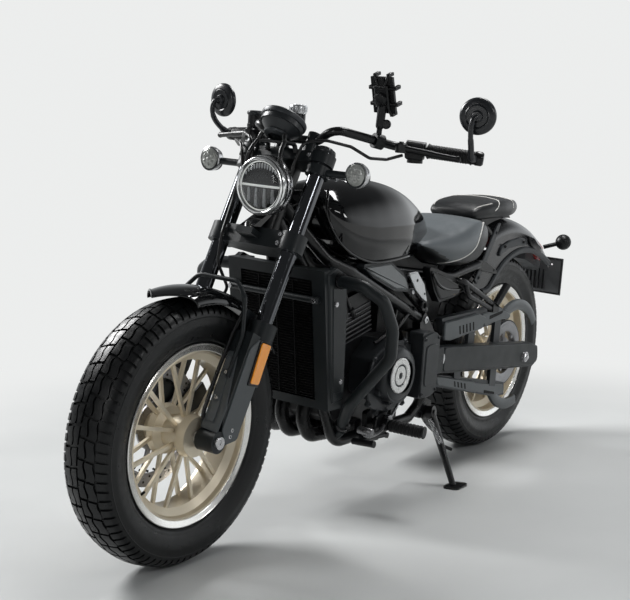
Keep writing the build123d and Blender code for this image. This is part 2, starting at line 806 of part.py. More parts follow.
def main_frame():
    """The head tube, twin rails, cradle, seat rails and pivot plates, welded together."""
    low_u = LOWER_CLAMP_U + LOWER_CLAMP_H / 2 + RUNNING_GAP
    high_u = TOP_CLAMP_U - TOP_CLAMP_H / 2 - RUNNING_GAP
    body = FORK_FRAME * Pos(STEER_V, 0, low_u) * Cylinder(
        HEAD_TUBE_R, high_u - low_u, align=(Align.CENTER, Align.CENTER, Align.MIN)
    )
    for side in (1, -1):
        for points, radius, bend in side_tubes(side):
            body += pipe(points, radius, bend)
    spine_top = fork_point(STEER_V - 10, 0, 628)
    body += pipe([spine_top, (250, 0, BACKBONE_Z), (-60, 0, BACKBONE_Z)], BACKBONE_R, [60])
    body += rod((-44, -86, 656), (-44, 86, 656), 12)
    body += rod((-330, -SEAT_RAIL_Y, 612), (-330, SEAT_RAIL_Y, 612), 12)
    body += rod((311, -64, 612), (311, 64, 612), 10)
    body += block((311, -40, 600), (core_back(612) - SEAT_GAP, 40, 624))
    for x in (116.0, -70.0):
        for side in (1, -1):
            low, high = sorted((side * (CASE_HALF + SEAT_GAP), side * CRADLE_Y))
            body += block((x - 14, low, CRADLE_Z), (x + 14, high, CRADLE_Z + 44))
    for x in (220.0, -40.0):
        body += block((x - 18, -14, BACKBONE_Z), (x + 18, 14, TANK_BASE_Z - SEAT_GAP))
    for side in (1, -1):
        low, high = sorted((side * PIVOT_PLATE_LOW_Y, side * PIVOT_PLATE_HIGH_Y))
        body += side_plate(
            [
                (-150, 530),
                (-225, 450),
                (-232, 340),
                (-222, 300),
                (-186, 300),
                (-160, 340),
                (-124, 500),
            ],
            low,
            high,
            8,
        )
        low, high = sorted((side * (SEAT_RAIL_Y - 12), side * (SEAT_RAIL_Y + 8)))
        body += block((-350, low, 612), (-318, high, SEAT_PAD_Z))
    # The side stand's lug behind the left cradle tube.
    body += side_plate(
        [(-264, 196), (-264, 246), (-215, 270), (-192, 262), (-192, 206)], 98, STAND_LUG_Y, 6
    )
    body -= FORK_FRAME * (Pos(STEER_V, 0, 600) * Cylinder(STEM_R + STEM_CLEAR, 600))
    body -= disc(PIVOT, PIVOT_BOLT_R, -200, 200)
    body -= rod(stand_axis_point(-60), stand_axis_point(60), STAND_PIN_R + AXLE_CLEAR)
    return body


# ---------------------------------------------------------------- side stand
STAND_LUG_Y = 116.0
STAND_PIVOT = (-238.0, 128.0, 218.0)
STAND_AXIS = Vector(-0.15, 1.0, 0.138).normalized()
STAND_FOOT_X, STAND_FOOT_LEANED_Y = -219.5, 235.8
STAND_LEG_R, STAND_PIN_R = 9.0, 8.0
STAND_SWING_DEG = 95.0


def stand_axis_point(along):
    return tuple(Vector(*STAND_PIVOT) + STAND_AXIS * along)


def ground_height(y):
    """The floor's height at a sideways place, while the machine leans."""
    return y * tan(GROUND_TILT) - GROUND_RISE / cos(GROUND_TILT)


def side_stand():
    """The leg on its pin, with a foot that lies flat on the floor."""
    foot_y = STAND_FOOT_LEANED_Y * cos(GROUND_TILT)
    foot = Vector(STAND_FOOT_X, foot_y, ground_height(foot_y))
    ground = Plane(
        origin=foot, x_dir=(1, 0, 0), z_dir=(0, -sin(GROUND_TILT), cos(GROUND_TILT))
    )
    pad = extrude(ground * (Pos(-4, 6) * RectangleRounded(74, 50, 16)), 6)
    ankle = tuple(foot + Vector(0, 0, 5))
    root = stand_axis_point(4)
    knee = tuple(Vector(*root) + (Vector(*ankle) - Vector(*root)) * 0.45)
    spur_low = Vector(*root) + (Vector(*ankle) - Vector(*root)) * 0.5
    leg = cone(root, ankle, 13, STAND_LEG_R)
    eye = rod(stand_axis_point(-6), stand_axis_point(14), 20)
    pin = rod(stand_axis_point(-32), stand_axis_point(18), STAND_PIN_R)
    spur = rod(knee, tuple(spur_low + Vector(-26, 18, -4)), 5)
    body = pad + leg + eye + pin + spur
    below = Plane(origin=foot, x_dir=(1, 0, 0), z_dir=(0, sin(GROUND_TILT), -cos(GROUND_TILT)))
    return body - extrude(below * Rectangle(600, 600), 60)


# ---------------------------------------------------------------- body work
TANK_TOP_Z = 903.0


def tank_shape(grow):
    """The tank from its side, plan and end outlines, with grow added all round."""
    side = side_plate(
        [
            (328, 772),
            (300, 734),
            (240, 706),
            (150, TANK_BASE_Z),
            (-240, TANK_BASE_Z),
            (-312, 700),
            (-322, 722),
            (-291, 762),
            (-240, 804),
            (-180, 836),
            (-105, 866),
            (-26, 888),
            (73, 901),
            (180, 902),
            (280, 892),
            (326, 870),
        ],
        -170,
        170,
        10,
        grow,
    )
    plan = plan_plate(
        [
            (328, -72),
            (328, 72),
            (250, 120),
            (150, 146),
            (20, 146),
            (-100, 112),
            (-210, 66),
            (-324, 24),
            (-324, -24),
            (-210, -66),
            (-100, -112),
            (20, -146),
            (150, -146),
            (250, -120),
        ],
        600,
        1000,
        10,
        grow,
    )
    end_plane = Plane(origin=(-400, 0, 0), x_dir=(0, 1, 0), z_dir=(1, 0, 0))
    end = extrude(
        end_plane
        * outline(
            [
                (-134, 690),
                (134, 690),
                (149, 752),
                (142, 806),
                (112, 856),
                (62, 890),
                (0, TANK_TOP_Z),
                (-62, 890),
                (-112, 856),
                (-142, 806),
                (-149, 752),
            ],
            16,
            grow,
        ),
        800,
    )
    return side & plan & end


CAP_PLACE = (120.0, 0.0, 901.0)
CAP_R, CAP_SINK, CAP_RISE = 40.0, 8.0, 8.0
CAP_HINGE = (CAP_PLACE[0] + CAP_R + 4.0, 0.0, CAP_PLACE[2] + CAP_RISE)
CAP_PIN_R, CAP_PIN_HALF = 3.0, 14.0
CAP_KNUCKLE_R, CAP_KNUCKLE_HALF = 4.5, 8.0
CAP_EAR_IN, CAP_EAR_OUT, CAP_PIN_GAP = 9.0, 14.5, 0.3
CAP_EAR_BACK, CAP_EAR_FRONT, CAP_EAR_ROOT = 2.5, 6.0, 20.0
CAP_LUG_LENGTH, CAP_LUG_LOW, CAP_LUG_HIGH = 16.0, 5.0, 1.0


def fuel_tank():
    x, _, z = CAP_PLACE
    body = tank_shape(0) - rod((x, 0, z - CAP_SINK - 0.5), (x, 0, z + 60), CAP_R + 1)
    for side in (1, -1):
        points, radius, bend = side_tubes(side)[0]
        body -= pipe(points, radius + 3, bend)
    body = max(body.solids(), key=lambda piece: piece.volume)
    hx, _, hz = CAP_HINGE
    for side in (1, -1):
        low, high = sorted((side * CAP_EAR_IN, side * CAP_EAR_OUT))
        body += block(
            (hx - CAP_EAR_BACK, low, hz - CAP_EAR_ROOT),
            (hx + CAP_EAR_FRONT, high, hz + CAP_EAR_FRONT),
            2,
        )
    bore = rod((hx, -CAP_EAR_OUT - 1, hz), (hx, CAP_EAR_OUT + 1, hz), CAP_PIN_R + CAP_PIN_GAP)
    return body - bore


def fuel_cap():
    x, _, z = CAP_PLACE
    body = rod((x, 0, z - CAP_SINK), (x, 0, z + CAP_RISE), CAP_R)
    body = chamfer(body.edges().group_by(Axis.Z)[-1], 3)
    hx, _, hz = CAP_HINGE
    body += block(
        (hx - CAP_LUG_LENGTH, -CAP_KNUCKLE_HALF, hz - CAP_LUG_LOW),
        (hx, CAP_KNUCKLE_HALF, hz - CAP_LUG_HIGH),
    )
    body += rod((hx, -CAP_KNUCKLE_HALF, hz), (hx, CAP_KNUCKLE_HALF, hz), CAP_KNUCKLE_R)
    return body + rod((hx, -CAP_PIN_HALF, hz), (hx, CAP_PIN_HALF, hz), CAP_PIN_R)


def rider_seat():
    """The saddle, which wraps round the tail of the tank."""
    low_z = SEAT_PAD_Z + SEAT_GAP
    side = side_plate(
        [
            (-132, 716),
            (-150, 700),
            (-262, 656),
            (-310, low_z),
            (-400, low_z),
            (-452, 656),
            (-520, 690),
            (-536, 730),
            (-520, 752),
            (-480, 766),
            (-400, 762),
            (-336, 746),
            (-280, 738),
            (-180, 734),
        ],
        -160,
        160,
        6,
    )
    plan = plan_plate(
        [
            (-128, -126),
            (-128, 126),
            (-250, 146),
            (-340, 152),
            (-440, 146),
            (-510, 122),
            (-540, 86),
            (-540, -86),
            (-510, -122),
            (-440, -146),
            (-340, -152),
            (-250, -146),
        ],
        600,
        900,
        10,
    )
    body = side & plan
    body -= tank_shape(2.0)
    body -= block((-330, -40, 600), (-100, 40, 800))
    return body - disc(REAR_AXLE, REAR_FENDER_R + SEAT_GAP, -200, 200)


def pillion_seat():
    low_z = PILLION_BASE_Z + SEAT_GAP
    side = side_plate(
        [
            (-500, 774),
            (-530, 806),
            (-600, 818),
            (-700, 820),
            (-790, 812),
            (-816, 796),
            (-812, 782),
            (-770, low_z),
            (-590, low_z),
            (-540, 762),
        ],
        -112,
        112,
        5,
    )
    plan = plan_plate(
        [
            (-496, -78),
            (-496, 78),
            (-560, 98),
            (-680, 100),
            (-780, 82),
            (-818, 56),
            (-818, -56),
            (-780, -82),
            (-680, -100),
            (-560, -98),
        ],
        700,
        900,
        12,
    )
    return side & plan


PILLION_BASE_Z = 764.3
REAR_FENDER_R, REAR_SKIRT = 436.0, 52.0
REAR_FENDER_FROM, REAR_FENDER_TO = 34.0, -50.0


def rear_fender():
    """A deep fender round the rear tyre, with flat sides and a rounded crown."""
    return arch_band(
        REAR_AXLE,
        REAR_FENDER_R,
        FENDER_WALL,
        REAR_FENDER_HALF,
        REAR_FENDER_FROM,
        REAR_FENDER_TO,
        REAR_SKIRT,
    )


def fender_rails():
    """Arched arms beside the fender that carry it from the seat rails."""

    def one(side):
        low, high = sorted((side * (REAR_FENDER_HALF + SEAT_GAP), side * (REAR_FENDER_HALF + 16)))
        band = ring(REAR_AXLE, 400, 372, low, high)
        cx, cz = REAR_AXLE[0], REAR_AXLE[2]
        wedge = side_plate(
            [(cx, cz), (cx + 460, cz + 470), (cx + 100, cz + 760), (cx - 520, cz + 600)],
            low - 1,
            high + 1,
        )
        return band & wedge

    return both(one)


def pillion_base():
    """The saddle that carries the pillion seat on the fender's crown."""
    body = side_plate(
        [
            (-548, 690),
            (-548, 757),
            (-592, PILLION_BASE_Z),
            (-780, PILLION_BASE_Z),
            (-800, 740),
        ],
        -60,
        60,
    )
    return body - disc(REAR_AXLE, REAR_FENDER_R + 0.1, -100, 100)


def side_covers():
    """Covers below the seat and the bright plates over the frame joints."""

    def cover(side):
        low, high = sorted((side * 122, side * 146))
        body = side_plate(
            [
                (-128, 664),
                (-216, 640),
                (-320, 604),
                (-366, 574),
                (-290, 560),
                (-206, 552),
                (-172, 588),
            ],
            low,
            high,
            8,
        )
        return body + rod((-250, side * 104, 620), (-250, side * 123, 620), 8)

    def plate(side):
        low, high = sorted((side * 137, side * 143))
        body = side_plate(
            [(-22, 652), (-74, 652), (-118, 612), (-142, 556), (-120, 562)], low, high, 5
        )
        return body + rod((-70, side * 128, 596), (-70, side * 138, 596), 8)

    return cover, plate


def tank_panels():
    """The fillers between the tank and the frame rails."""

    def one(side):
        low, high = sorted((side * 112, side * 135))
        body = side_plate(
            [(206, 692), (62, 692), (-30, 640), (-50, 596), (28, 606), (140, 652)], low, high, 6
        )
        for points, radius, bend in side_tubes(side)[:2]:
            body -= pipe(points, radius + 0.4, bend)
        return max(body.solids(), key=lambda piece: piece.volume)

    return both(one)


def airbox():
    """The closed block of filter box, battery and wiring behind the engine."""
    return block((-268, -76, 468), (10, 76, 604), 20) - crankcase(SEAT_GAP)


# ---------------------------------------------------------------- engine
CASE_HALF, CASE_LOW_Z = 80.0, 240.0
ALTERNATOR_PLACE = (52.0, 0.0, 382.0)
ROTOR_PLACE = (76.0, 0.0, 390.0)
FRONT_PULLEY = (-98.0, 0.0, 392.0)
FRONT_PULLEY_R = 38.0
HEAD_TILT_DEG = 12.0
HEAD_FRAME = Pos(110, 0, 456) * Rot(0, HEAD_TILT_DEG, 0)
PORT_Y, HEADER_R = 34.0, 19.0


def crankcase(grow=0.0):
    return side_plate(
        [
            (215, 440),
            (228, 360),
            (210, 270),
            (160, CASE_LOW_Z),
            (-80, CASE_LOW_Z),
            (-150, 276),
            (-166, 400),
            (-120, 470),
            (60, 486),
            (170, 470),
        ],
        -CASE_HALF - grow,
        CASE_HALF + grow,
        12,
        grow,
    )


def cylinders():
    """The parallel-twin barrel, head and rocker cover, leaning forward, with fins."""
    body = HEAD_FRAME * Pos(0, 0, 50) * Box(120, 150, 92)
    for k in range(6):
        body += HEAD_FRAME * Pos(0, 0, 26 + 12 * k) * Box(136, 166, 4)
    body += HEAD_FRAME * Pos(0, 0, 122) * Box(140, 166, 52)
    body += HEAD_FRAME * Pos(-4, 0, 155) * Box(112, 140, 16)
    return body


def engine_covers():
    """The alternator cover, the front pulley cover and the clutch cover."""
    case = [(138, 430), (140, 340), (84, 306), (-30, 304), (-50, 380), (-30, 460), (70, 478)]
    left = side_plate(case, CASE_HALF, 150, 12)
    left += disc(ALTERNATOR_PLACE, 74, CASE_HALF, 190)
    left += disc(ROTOR_PLACE, 42, 190, 205)
    pulley = side_plate(
        [(-60, 486), (-58, 300), (-96, 298), (-148, 352), (-150, 432), (-112, 486)], 142, 186, 6
    )
    # A spacer joins the pulley cover to the alternator cover, in front of the belt.
    pulley += block((-62, BELT_HIGH_Y + 2, 330), (-36, 150, 450))
    right = disc((30, 0, 380), 84, -160, -CASE_HALF) + disc((146, 0, 330), 44, -140, -CASE_HALF)
    return left, pulley - left, right


RADIATOR_TOP, RADIATOR_LOW = (398.0, 692.0), (338.0, 326.0)
SHROUD_HALF, CORE_HALF, CORE_FRONT, CORE_BACK = 152.0, 112.0, 12.0, 38.0
GUARD_BAR_Z = 617.0


def shroud_face(z):
    """How far forward the shroud's slanted face is at a height."""
    (tx, tz), (lx, lz) = RADIATOR_TOP, RADIATOR_LOW
    return lx + (tx - lx) / (tz - lz) * (z - lz)


def core_back(z):
    return shroud_face(z) - CORE_BACK


def slanted(forward, back, z_low, z_high, half):
    """A block parallel to the radiator's face, between two distances behind it."""
    high, low = shroud_face(z_high), shroud_face(z_low)
    points = [
        (high - forward, z_high),
        (low - forward, z_low),
        (low - back, z_low),
        (high - back, z_high),
    ]
    return side_plate(points, -half, half)


def radiator():
    return slanted(CORE_FRONT, CORE_BACK, 350, 664, CORE_HALF)


def radiator_shroud():
    """The frame round the radiator: two deep side fins, a top cap and a lower lip."""
    body = slanted(0, 60, 326, 692, SHROUD_HALF)
    body -= slanted(-2, 62, 350, 664, CORE_HALF)
    body -= slanted(CORE_BACK, 62, 300, 720, CORE_HALF)
    return body


def crash_bars():
    """Side hoops on the shroud and the cradle, and the bar across the radiator."""

    def one(side):
        points = [
            (338, side * (SHROUD_HALF + 14), 665),
            (352, side * 240, 664),
            (333, side * 290, 632),
            (298, side * 300, 560),
            (280, side * 290, 482),
            (272, side * 232, 412),
            (252, side * 160, 330),
            (224, side * 122, 262),
        ]
        hoop = pipe(points, CRASH_BAR_R, [40, 30, 60, 60, 50, 60])
        hoop += rod((338, side * SHROUD_HALF, 665), (338, side * (SHROUD_HALF + 22), 665), 14)
        return hoop + rod((224, side * 122, 250), (224, side * 104, 228), 12)

    face = shroud_face(GUARD_BAR_Z)
    across = rod((face + 12, -140, GUARD_BAR_Z), (face + 12, 140, GUARD_BAR_Z), 8)
    for side in (1, -1):
        across += rod((face, side * 132, GUARD_BAR_Z), (face + 12, side * 132, GUARD_BAR_Z), 9)
    return one, across


def exhaust_pipes():
    """Two header pipes from the ports down to the chamber under the engine."""
    body = block((-40, -60, 186), (150, 60, 236), 18)
    for side in (1, -1):
        y = side * PORT_Y
        body += pipe(
            [
                tuple((HEAD_FRAME * Pos(70, y, 112)).position),
                tuple((HEAD_FRAME * Pos(118, y, 112)).position),
                (262, y, 430),
                (266, y, 345),
                (284, y, 276),
                (246, y, 220),
                (130, y, 211),
            ],
            HEADER_R,
            [30, 60, 60, 50, 50],
        )
    return body


SILENCER_Y, SILENCER_R = -204.0, 37.0


def muffler():
    """The link pipe to the right and two stacked silencers beside the rear wheel."""
    body = pipe(
        [
            (-36, -30, 211),
            (-190, -30, 211),
            (-276, -60, 213),
            (-306, -150, 219),
            (-338, SILENCER_Y, 224),
        ],
        22,
        [60, 50, 40],
    )
    body += block((-348, SILENCER_Y - 26, 180), (-318, SILENCER_Y + 26, 268))
    for z in (262, 186):
        start, end = Vector(-334, SILENCER_Y, z), Vector(-820, SILENCER_Y, z + 10)
        along = (end - start).normalized()
        neck = start + along * 34
        body += cone(tuple(start), tuple(neck), 29, SILENCER_R)
        body += rod(tuple(neck), tuple(end), SILENCER_R)
        body -= rod(tuple(end - along * 30), tuple(end + along * 10), SILENCER_R - 13)
    hanger = [(-470, 275), (-500, 512), (-524, 512), (-520, 275)]
    return body + side_plate(hanger, SILENCER_Y + 20, SILENCER_Y + 30)


ARM_LOW_Y, ARM_HIGH_Y = 138.0, 170.0
RIGHT_ARM_LOW_Y, RIGHT_ARM_HIGH_Y = -160.0, -138.0
ARM_OUTLINE = [
    (-168, 428),
    (-260, 420),
    (-800, 362),
    (-850, 344),
    (-858, 296),
    (-820, 280),
    (-276, 340),
    (-176, 352),
]


def swingarm():
    """Two box arms joined by a cross member, and the pivot boss."""
    body = side_plate(ARM_OUTLINE, ARM_LOW_Y, ARM_HIGH_Y, 10)
    body += side_plate(ARM_OUTLINE, RIGHT_ARM_LOW_Y, RIGHT_ARM_HIGH_Y, 10)
    body += block((-332, RIGHT_ARM_HIGH_Y - 4, 360), (-262, ARM_LOW_Y + 4, 404), 8)
    body += disc(PIVOT, 26, -102, 102)
    body += block((-270, -76, 366), (-196, 76, 416), 8)
    body -= disc(PIVOT, PIVOT_BOLT_R, -210, 210)
    body -= disc(REAR_AXLE, AXLE_R, -210, 210)
    return body


def rear_axles():
    """The wheel spindle with its spacers and nuts, and the swingarm's pivot bolt."""
    axle = disc(REAR_AXLE, AXLE_R, RIGHT_ARM_LOW_Y - 12, ARM_HIGH_Y + 12)
    for low, high in (
        (ARM_HIGH_Y, ARM_HIGH_Y + 10),
        (RIGHT_ARM_LOW_Y - 10, RIGHT_ARM_LOW_Y),
        (PULLEY_HIGH_Y + 1, ARM_LOW_Y),
        (RIGHT_ARM_HIGH_Y, REAR_DISC_Y - REAR_DISC_T / 2 - 1),
    ):
        axle += disc(REAR_AXLE, 17, low, high)
    bolt = disc(PIVOT, PIVOT_BOLT_R, RIGHT_ARM_LOW_Y - 6, ARM_HIGH_Y + 6)
    for low, high in ((ARM_HIGH_Y, ARM_HIGH_Y + 6), (RIGHT_ARM_LOW_Y - 6, RIGHT_ARM_LOW_Y)):
        bolt += disc(PIVOT, 19, low, high)
    return axle, bolt


def rear_shock():
    """The spring unit from the swingarm's cross member up to the seat cross tube."""
    return rod((-312, 0, 404), (-330, 0, 599.7), 14) + rod((-315, 0, 430), (-328, 0, 570), 33)


BELT_LOW_Y, BELT_HIGH_Y, BELT_T = 85.0, 101.0, 4.0
BELT_GAP = 0.3


def belt_loop(extra):
    """The belt's outline round both pulleys, with extra added all round."""
    bx, bz = REAR_AXLE[0], REAR_AXLE[2]
    sx, sz = FRONT_PULLEY[0], FRONT_PULLEY[2]
    big, small = PULLEY_R + BELT_GAP + extra, FRONT_PULLEY_R + extra
    heading = atan2(sz - bz, sx - bx)
    spread = asin((big - small) / hypot(sx - bx, sz - bz))
    up, down = heading + radians(90) - spread, heading - radians(90) + spread
    top_big = (bx + big * cos(up), bz + big * sin(up))
    top_small = (sx + small * cos(up), sz + small * sin(up))
    low_small = (sx + small * cos(down), sz + small * sin(down))
    low_big = (bx + big * cos(down), bz + big * sin(down))
    nose = (sx + small * cos(heading), sz + small * sin(heading))
    tail = (bx - big * cos(heading), bz - big * sin(heading))
    return make_face(
        [
            Line(top_big, top_small),
            ThreePointArc(top_small, nose, low_small),
            Line(low_small, low_big),
            ThreePointArc(low_big, tail, top_big),
        ]
    )


def drive_belt():
    """One closed loop round the rear pulley and the covered front pulley."""
    plane = Plane(origin=(0, BELT_HIGH_Y, 0), x_dir=(1, 0, 0), z_dir=(0, -1, 0))
    return extrude(plane * (belt_loop(BELT_T) - belt_loop(0)), BELT_HIGH_Y - BELT_LOW_Y)


def belt_guards():
    """Slotted guards above and below the swingarm, outside the belt."""
    upper = side_plate(
        [
            (-251, 498),
            (-612, 498),
            (-700, 462),
            (-690, 446),
            (-619, 456),
            (-540, 440),
            (-282, 446),
        ],
        112,
        134,
        4,
    )
    lower = side_plate(
        [(-232, 334), (-700, 238), (-706, 196), (-640, 200), (-244, 296)], 112, 134, 4
    )
    for x in (-420, -590):
        upper += side_plate(
            [(x, 460), (x - 40, 460), (x - 40, 380), (x, 384)], 126, ARM_LOW_Y
        )
    for x, z in ((-350, 290), (-590, 244)):
        lower += side_plate(
            [(x, z), (x - 40, z - 8), (x - 40, z + 84), (x, z + 92)], 126, ARM_LOW_Y
        )
    return upper, lower


def rear_caliper():
    """A caliper over the rear disc on a bracket from the right arm."""
    y = REAR_DISC_Y
    body = Pos(-672, y - 4, 402) * Rot(0, 46, 0) * Box(84, 40, 46)
    body -= ring(REAR_AXLE, REAR_DISC_R + 6, 40, y - REAR_DISC_T / 2 - 3, y + REAR_DISC_T / 2 + 3)
    body -= block((-800, y + REAR_DISC_T, 300), (-500, -60, 500))
    bracket = [(-706, 372), (-640, 372), (-640, 420), (-690, 416)]
    return body + side_plate(bracket, RIGHT_ARM_HIGH_Y, y - 12)


def foot_controls():
    """The rider's pegs, the gear lever on the left and the brake pedal on the right."""

    def one(side):
        inner = CRADLE_Y + CRADLE_R
        hanger = side_plate(
            [(40, 190), (110, 196), (116, 282), (60, 286)],
            *sorted((side * (inner - 3), side * (inner + 12))),
            8,
        )
        peg_root = side * (inner + 8)
        peg = rod((84, peg_root, 250), (78, side * 196, 248), 9)
        peg += rod((78, side * 190, 248), (62, side * 282, 246), 14)
        arm_y = side * 162
        pedal = rod((60, peg_root, 214), (60, side * 168, 214), 8)
        pedal += rod((60, arm_y, 214), (214, arm_y, 226), 6)
        pedal += rod((214, side * 156, 226), (214, side * 222, 230), 9)
        return hanger + peg + pedal

    return both(one)


def pillion_pegs():
    """Folded footrests on two-tube brackets behind the rider on both sides."""

    def one(side):
        y = side * 160
        body = pipe([(-300, side * 112, 604), (-312, y, 608), (-520, y, 516)], 9, [20])
        body += pipe([(-330, y, 598), (-352, y, 560), (-520, y, 500)], 8, [30])
        body += block((-545, min(y - 10, y + 10), 492), (-505, max(y - 10, y + 10), 524), 6)
        body += rod((-525, y + side * 6, 516), (-572, side * 176, 574), 12)
        return body

    return both(one)


SIGNAL_X = -1000.0


def tail_lamp():
    """A flat lamp on the fender's tail."""
    return side_plate(
        [(-1030, 668), (-1062, 650), (-1078, 640), (-1096, 606), (-1066, 596), (-1016, 648)], -50, 50, 3
    )


def rear_signals():
    """Ball-shaped signals on stalks from the fender's sides."""

    def one(side):
        root = side * (REAR_FENDER_HALF - FENDER_WALL / 2)
        body = rod((SIGNAL_X, root, 652), (SIGNAL_X, side * 146, 672), 7)
        return body + Pos(SIGNAL_X, side * 158, 677) * Sphere(26)

    return both(one)


PLATE_TOP_Z, PLATE_LOW_Z, PLATE_X, PLATE_HALF = 606.0, 478.0, -1112.0, 116.0
PLATE_HOLE_Y, PLATE_HOLE_Z = 75.0, 582.0


def plate_bracket():
    """The arm under the fender's tail and the blank plate holder with its two holes."""
    arm = side_plate(
        [(-990, 640), (-1056, 640), (PLATE_X, 590), (PLATE_X, 552), (-1060, 580), (-985, 604)], -30, 30
    )
    plate = block(
        (PLATE_X - PLATE_THICKNESS, -PLATE_HALF, PLATE_LOW_Z), (PLATE_X, PLATE_HALF, PLATE_TOP_Z)
    )
    body = arm + plate
    body += rod((PLATE_X, 0, 580), (PLATE_X + 12, 0, 580), 20)
    for side in (1, -1):
        y = side * PLATE_HOLE_Y
        body -= rod((PLATE_X - 10, y, PLATE_HOLE_Z), (PLATE_X + 10, y, PLATE_HOLE_Z), PLATE_HOLE_R)
    return body


# ---------------------------------------------------------------- assembly
GROUND_RISE = 0.4


def assemble():
    """Every node as name: shape, with the pieces that share a node side by side."""
    nodes = {}
    nodes["main_frame"] = main_frame()
    nodes["swingarm"] = swingarm()
    nodes["rear_axles"] = solids_of(*rear_axles())
    nodes["rear_shock"] = rear_shock() - nodes["swingarm"]
    nodes["crankcase"] = crankcase()
    nodes["cylinders"] = cylinders() - nodes["crankcase"]
    nodes["engine_covers"] = solids_of(*engine_covers())
    hoop, across = crash_bars()
    nodes["radiator"] = radiator() - nodes["main_frame"]
    nodes["radiator_shroud"] = radiator_shroud() - nodes["main_frame"]
    bars = solids_of(both(hoop), across) - nodes["main_frame"]
    nodes["crash_bars"] = bars - nodes["radiator_shroud"]
    nodes["exhaust_pipes"] = exhaust_pipes()
    nodes["muffler"] = muffler() - nodes["exhaust_pipes"]
    tank = fuel_tank() - nodes["main_frame"]
    nodes["fuel_tank"] = max(tank.solids(), key=lambda piece: piece.volume)
    nodes["rider_seat"] = rider_seat()
    nodes["pillion_seat"] = pillion_seat()
    nodes["rear_fender"] = rear_fender()
    nodes["fender_rails"] = fender_rails() - nodes["main_frame"]
    nodes["pillion_base"] = pillion_base() - nodes["rear_fender"]
    cover, plate = side_covers()
    nodes["side_covers"] = both(cover) - nodes["main_frame"]
    nodes["frame_plates"] = both(plate) - nodes["main_frame"]
    nodes["tank_panels"] = tank_panels()
    nodes["airbox"] = airbox()
    nodes["drive_belt"] = drive_belt()
    nodes["belt_guards"] = solids_of(*belt_guards())
    nodes["rear_caliper"] = rear_caliper()
    nodes["foot_controls"] = foot_controls() - nodes["main_frame"]
    nodes["pillion_pegs"] = pillion_pegs() - nodes["side_covers"] - nodes["main_frame"]
    nodes["tail_lamp"] = tail_lamp() - nodes["rear_fender"]
    nodes["plate_bracket"] = plate_bracket() - nodes["rear_fender"] - nodes["tail_lamp"]
    nodes["rear_signals"] = rear_signals() - nodes["rear_fender"]
    nodes["lower_clamp"] = lower_clamp()
    nodes["handlebar"] = handlebar()
    nodes["top_clamp"] = top_clamp() - nodes["handlebar"]
    nodes["fork_tubes"] = both(fork_tube)
    nodes["fork_legs"] = both(fork_leg)
    nodes["front_axle"] = front_axle()
    nodes["front_fender"] = front_fender() - nodes["fork_legs"]
    nodes["fork_brace"] = fork_brace() - nodes["fork_legs"]
    head_low, head_high = fork_point(STEER_V, 0, 500), fork_point(STEER_V, 0, 800)
    bowl = headlight() - rod(head_low, head_high, HEAD_TUBE_R + RUNNING_GAP + 1)
    nodes["headlight"] = bowl - nodes["lower_clamp"]
    nodes["headlight_lens"] = headlight_lens()
    nodes["instrument_pod"] = instrument_pod()
    nodes["grips"] = grips()
    nodes["hand_controls"] = hand_controls() - nodes["handlebar"]
    nodes["mirrors"] = mirrors()
    nodes["front_signals"] = front_signals()
    nodes["phone_holder"] = phone_holder()
    nodes["front_caliper"] = front_caliper()
    cables = solids_of(*control_cables()) - nodes["hand_controls"] - nodes["headlight"]
    nodes["control_cables"] = cables - nodes["front_caliper"]
    nodes["front_wheel"] = front_wheel()
    nodes["front_tyre"] = tyre(FRONT_AXLE, FRONT_TYRE_R, FRONT_TYRE_W, FRONT_RIM_W)
    nodes["front_disc"] = front_disc()
    nodes["rear_wheel"] = rear_wheel()
    nodes["rear_tyre"] = tyre(REAR_AXLE, REAR_TYRE_R, REAR_TYRE_W, REAR_RIM_W)
    nodes["rear_disc"] = rear_disc()
    nodes["rear_pulley"] = rear_pulley()
    nodes["side_stand"] = side_stand()
    nodes["fuel_cap"] = fuel_cap()
    return nodes


def parked(nodes):
    """The nodes leaned onto the stand, with the origin under the middle of them all."""
    lean = Pos(0, 0, GROUND_RISE) * Rot(-LEAN_DEG, 0, 0)
    boxes = [solids_of(lean * shape).bounding_box() for shape in nodes.values()]
    middle_x = (min(b.min.X for b in boxes) + max(b.max.X for b in boxes)) / 2
    middle_y = (min(b.min.Y for b in boxes) + max(b.max.Y for b in boxes)) / 2
    low_z = min(b.min.Z for b in boxes)
    place = Pos(-middle_x, -middle_y, -low_z) * lean
    return {name: solids_of(place * shape) for name, shape in nodes.items()}, place


def main():
    nodes, _ = parked(assemble())
    os.makedirs("parts", exist_ok=True)
    for name, shape in nodes.items():
        export_step(shape, os.path.join("parts", name + ".step"))


if __name__ == "__main__":
    main()
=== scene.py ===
import json
import math

import bmesh
import bpy
from mathutils import Matrix, Vector


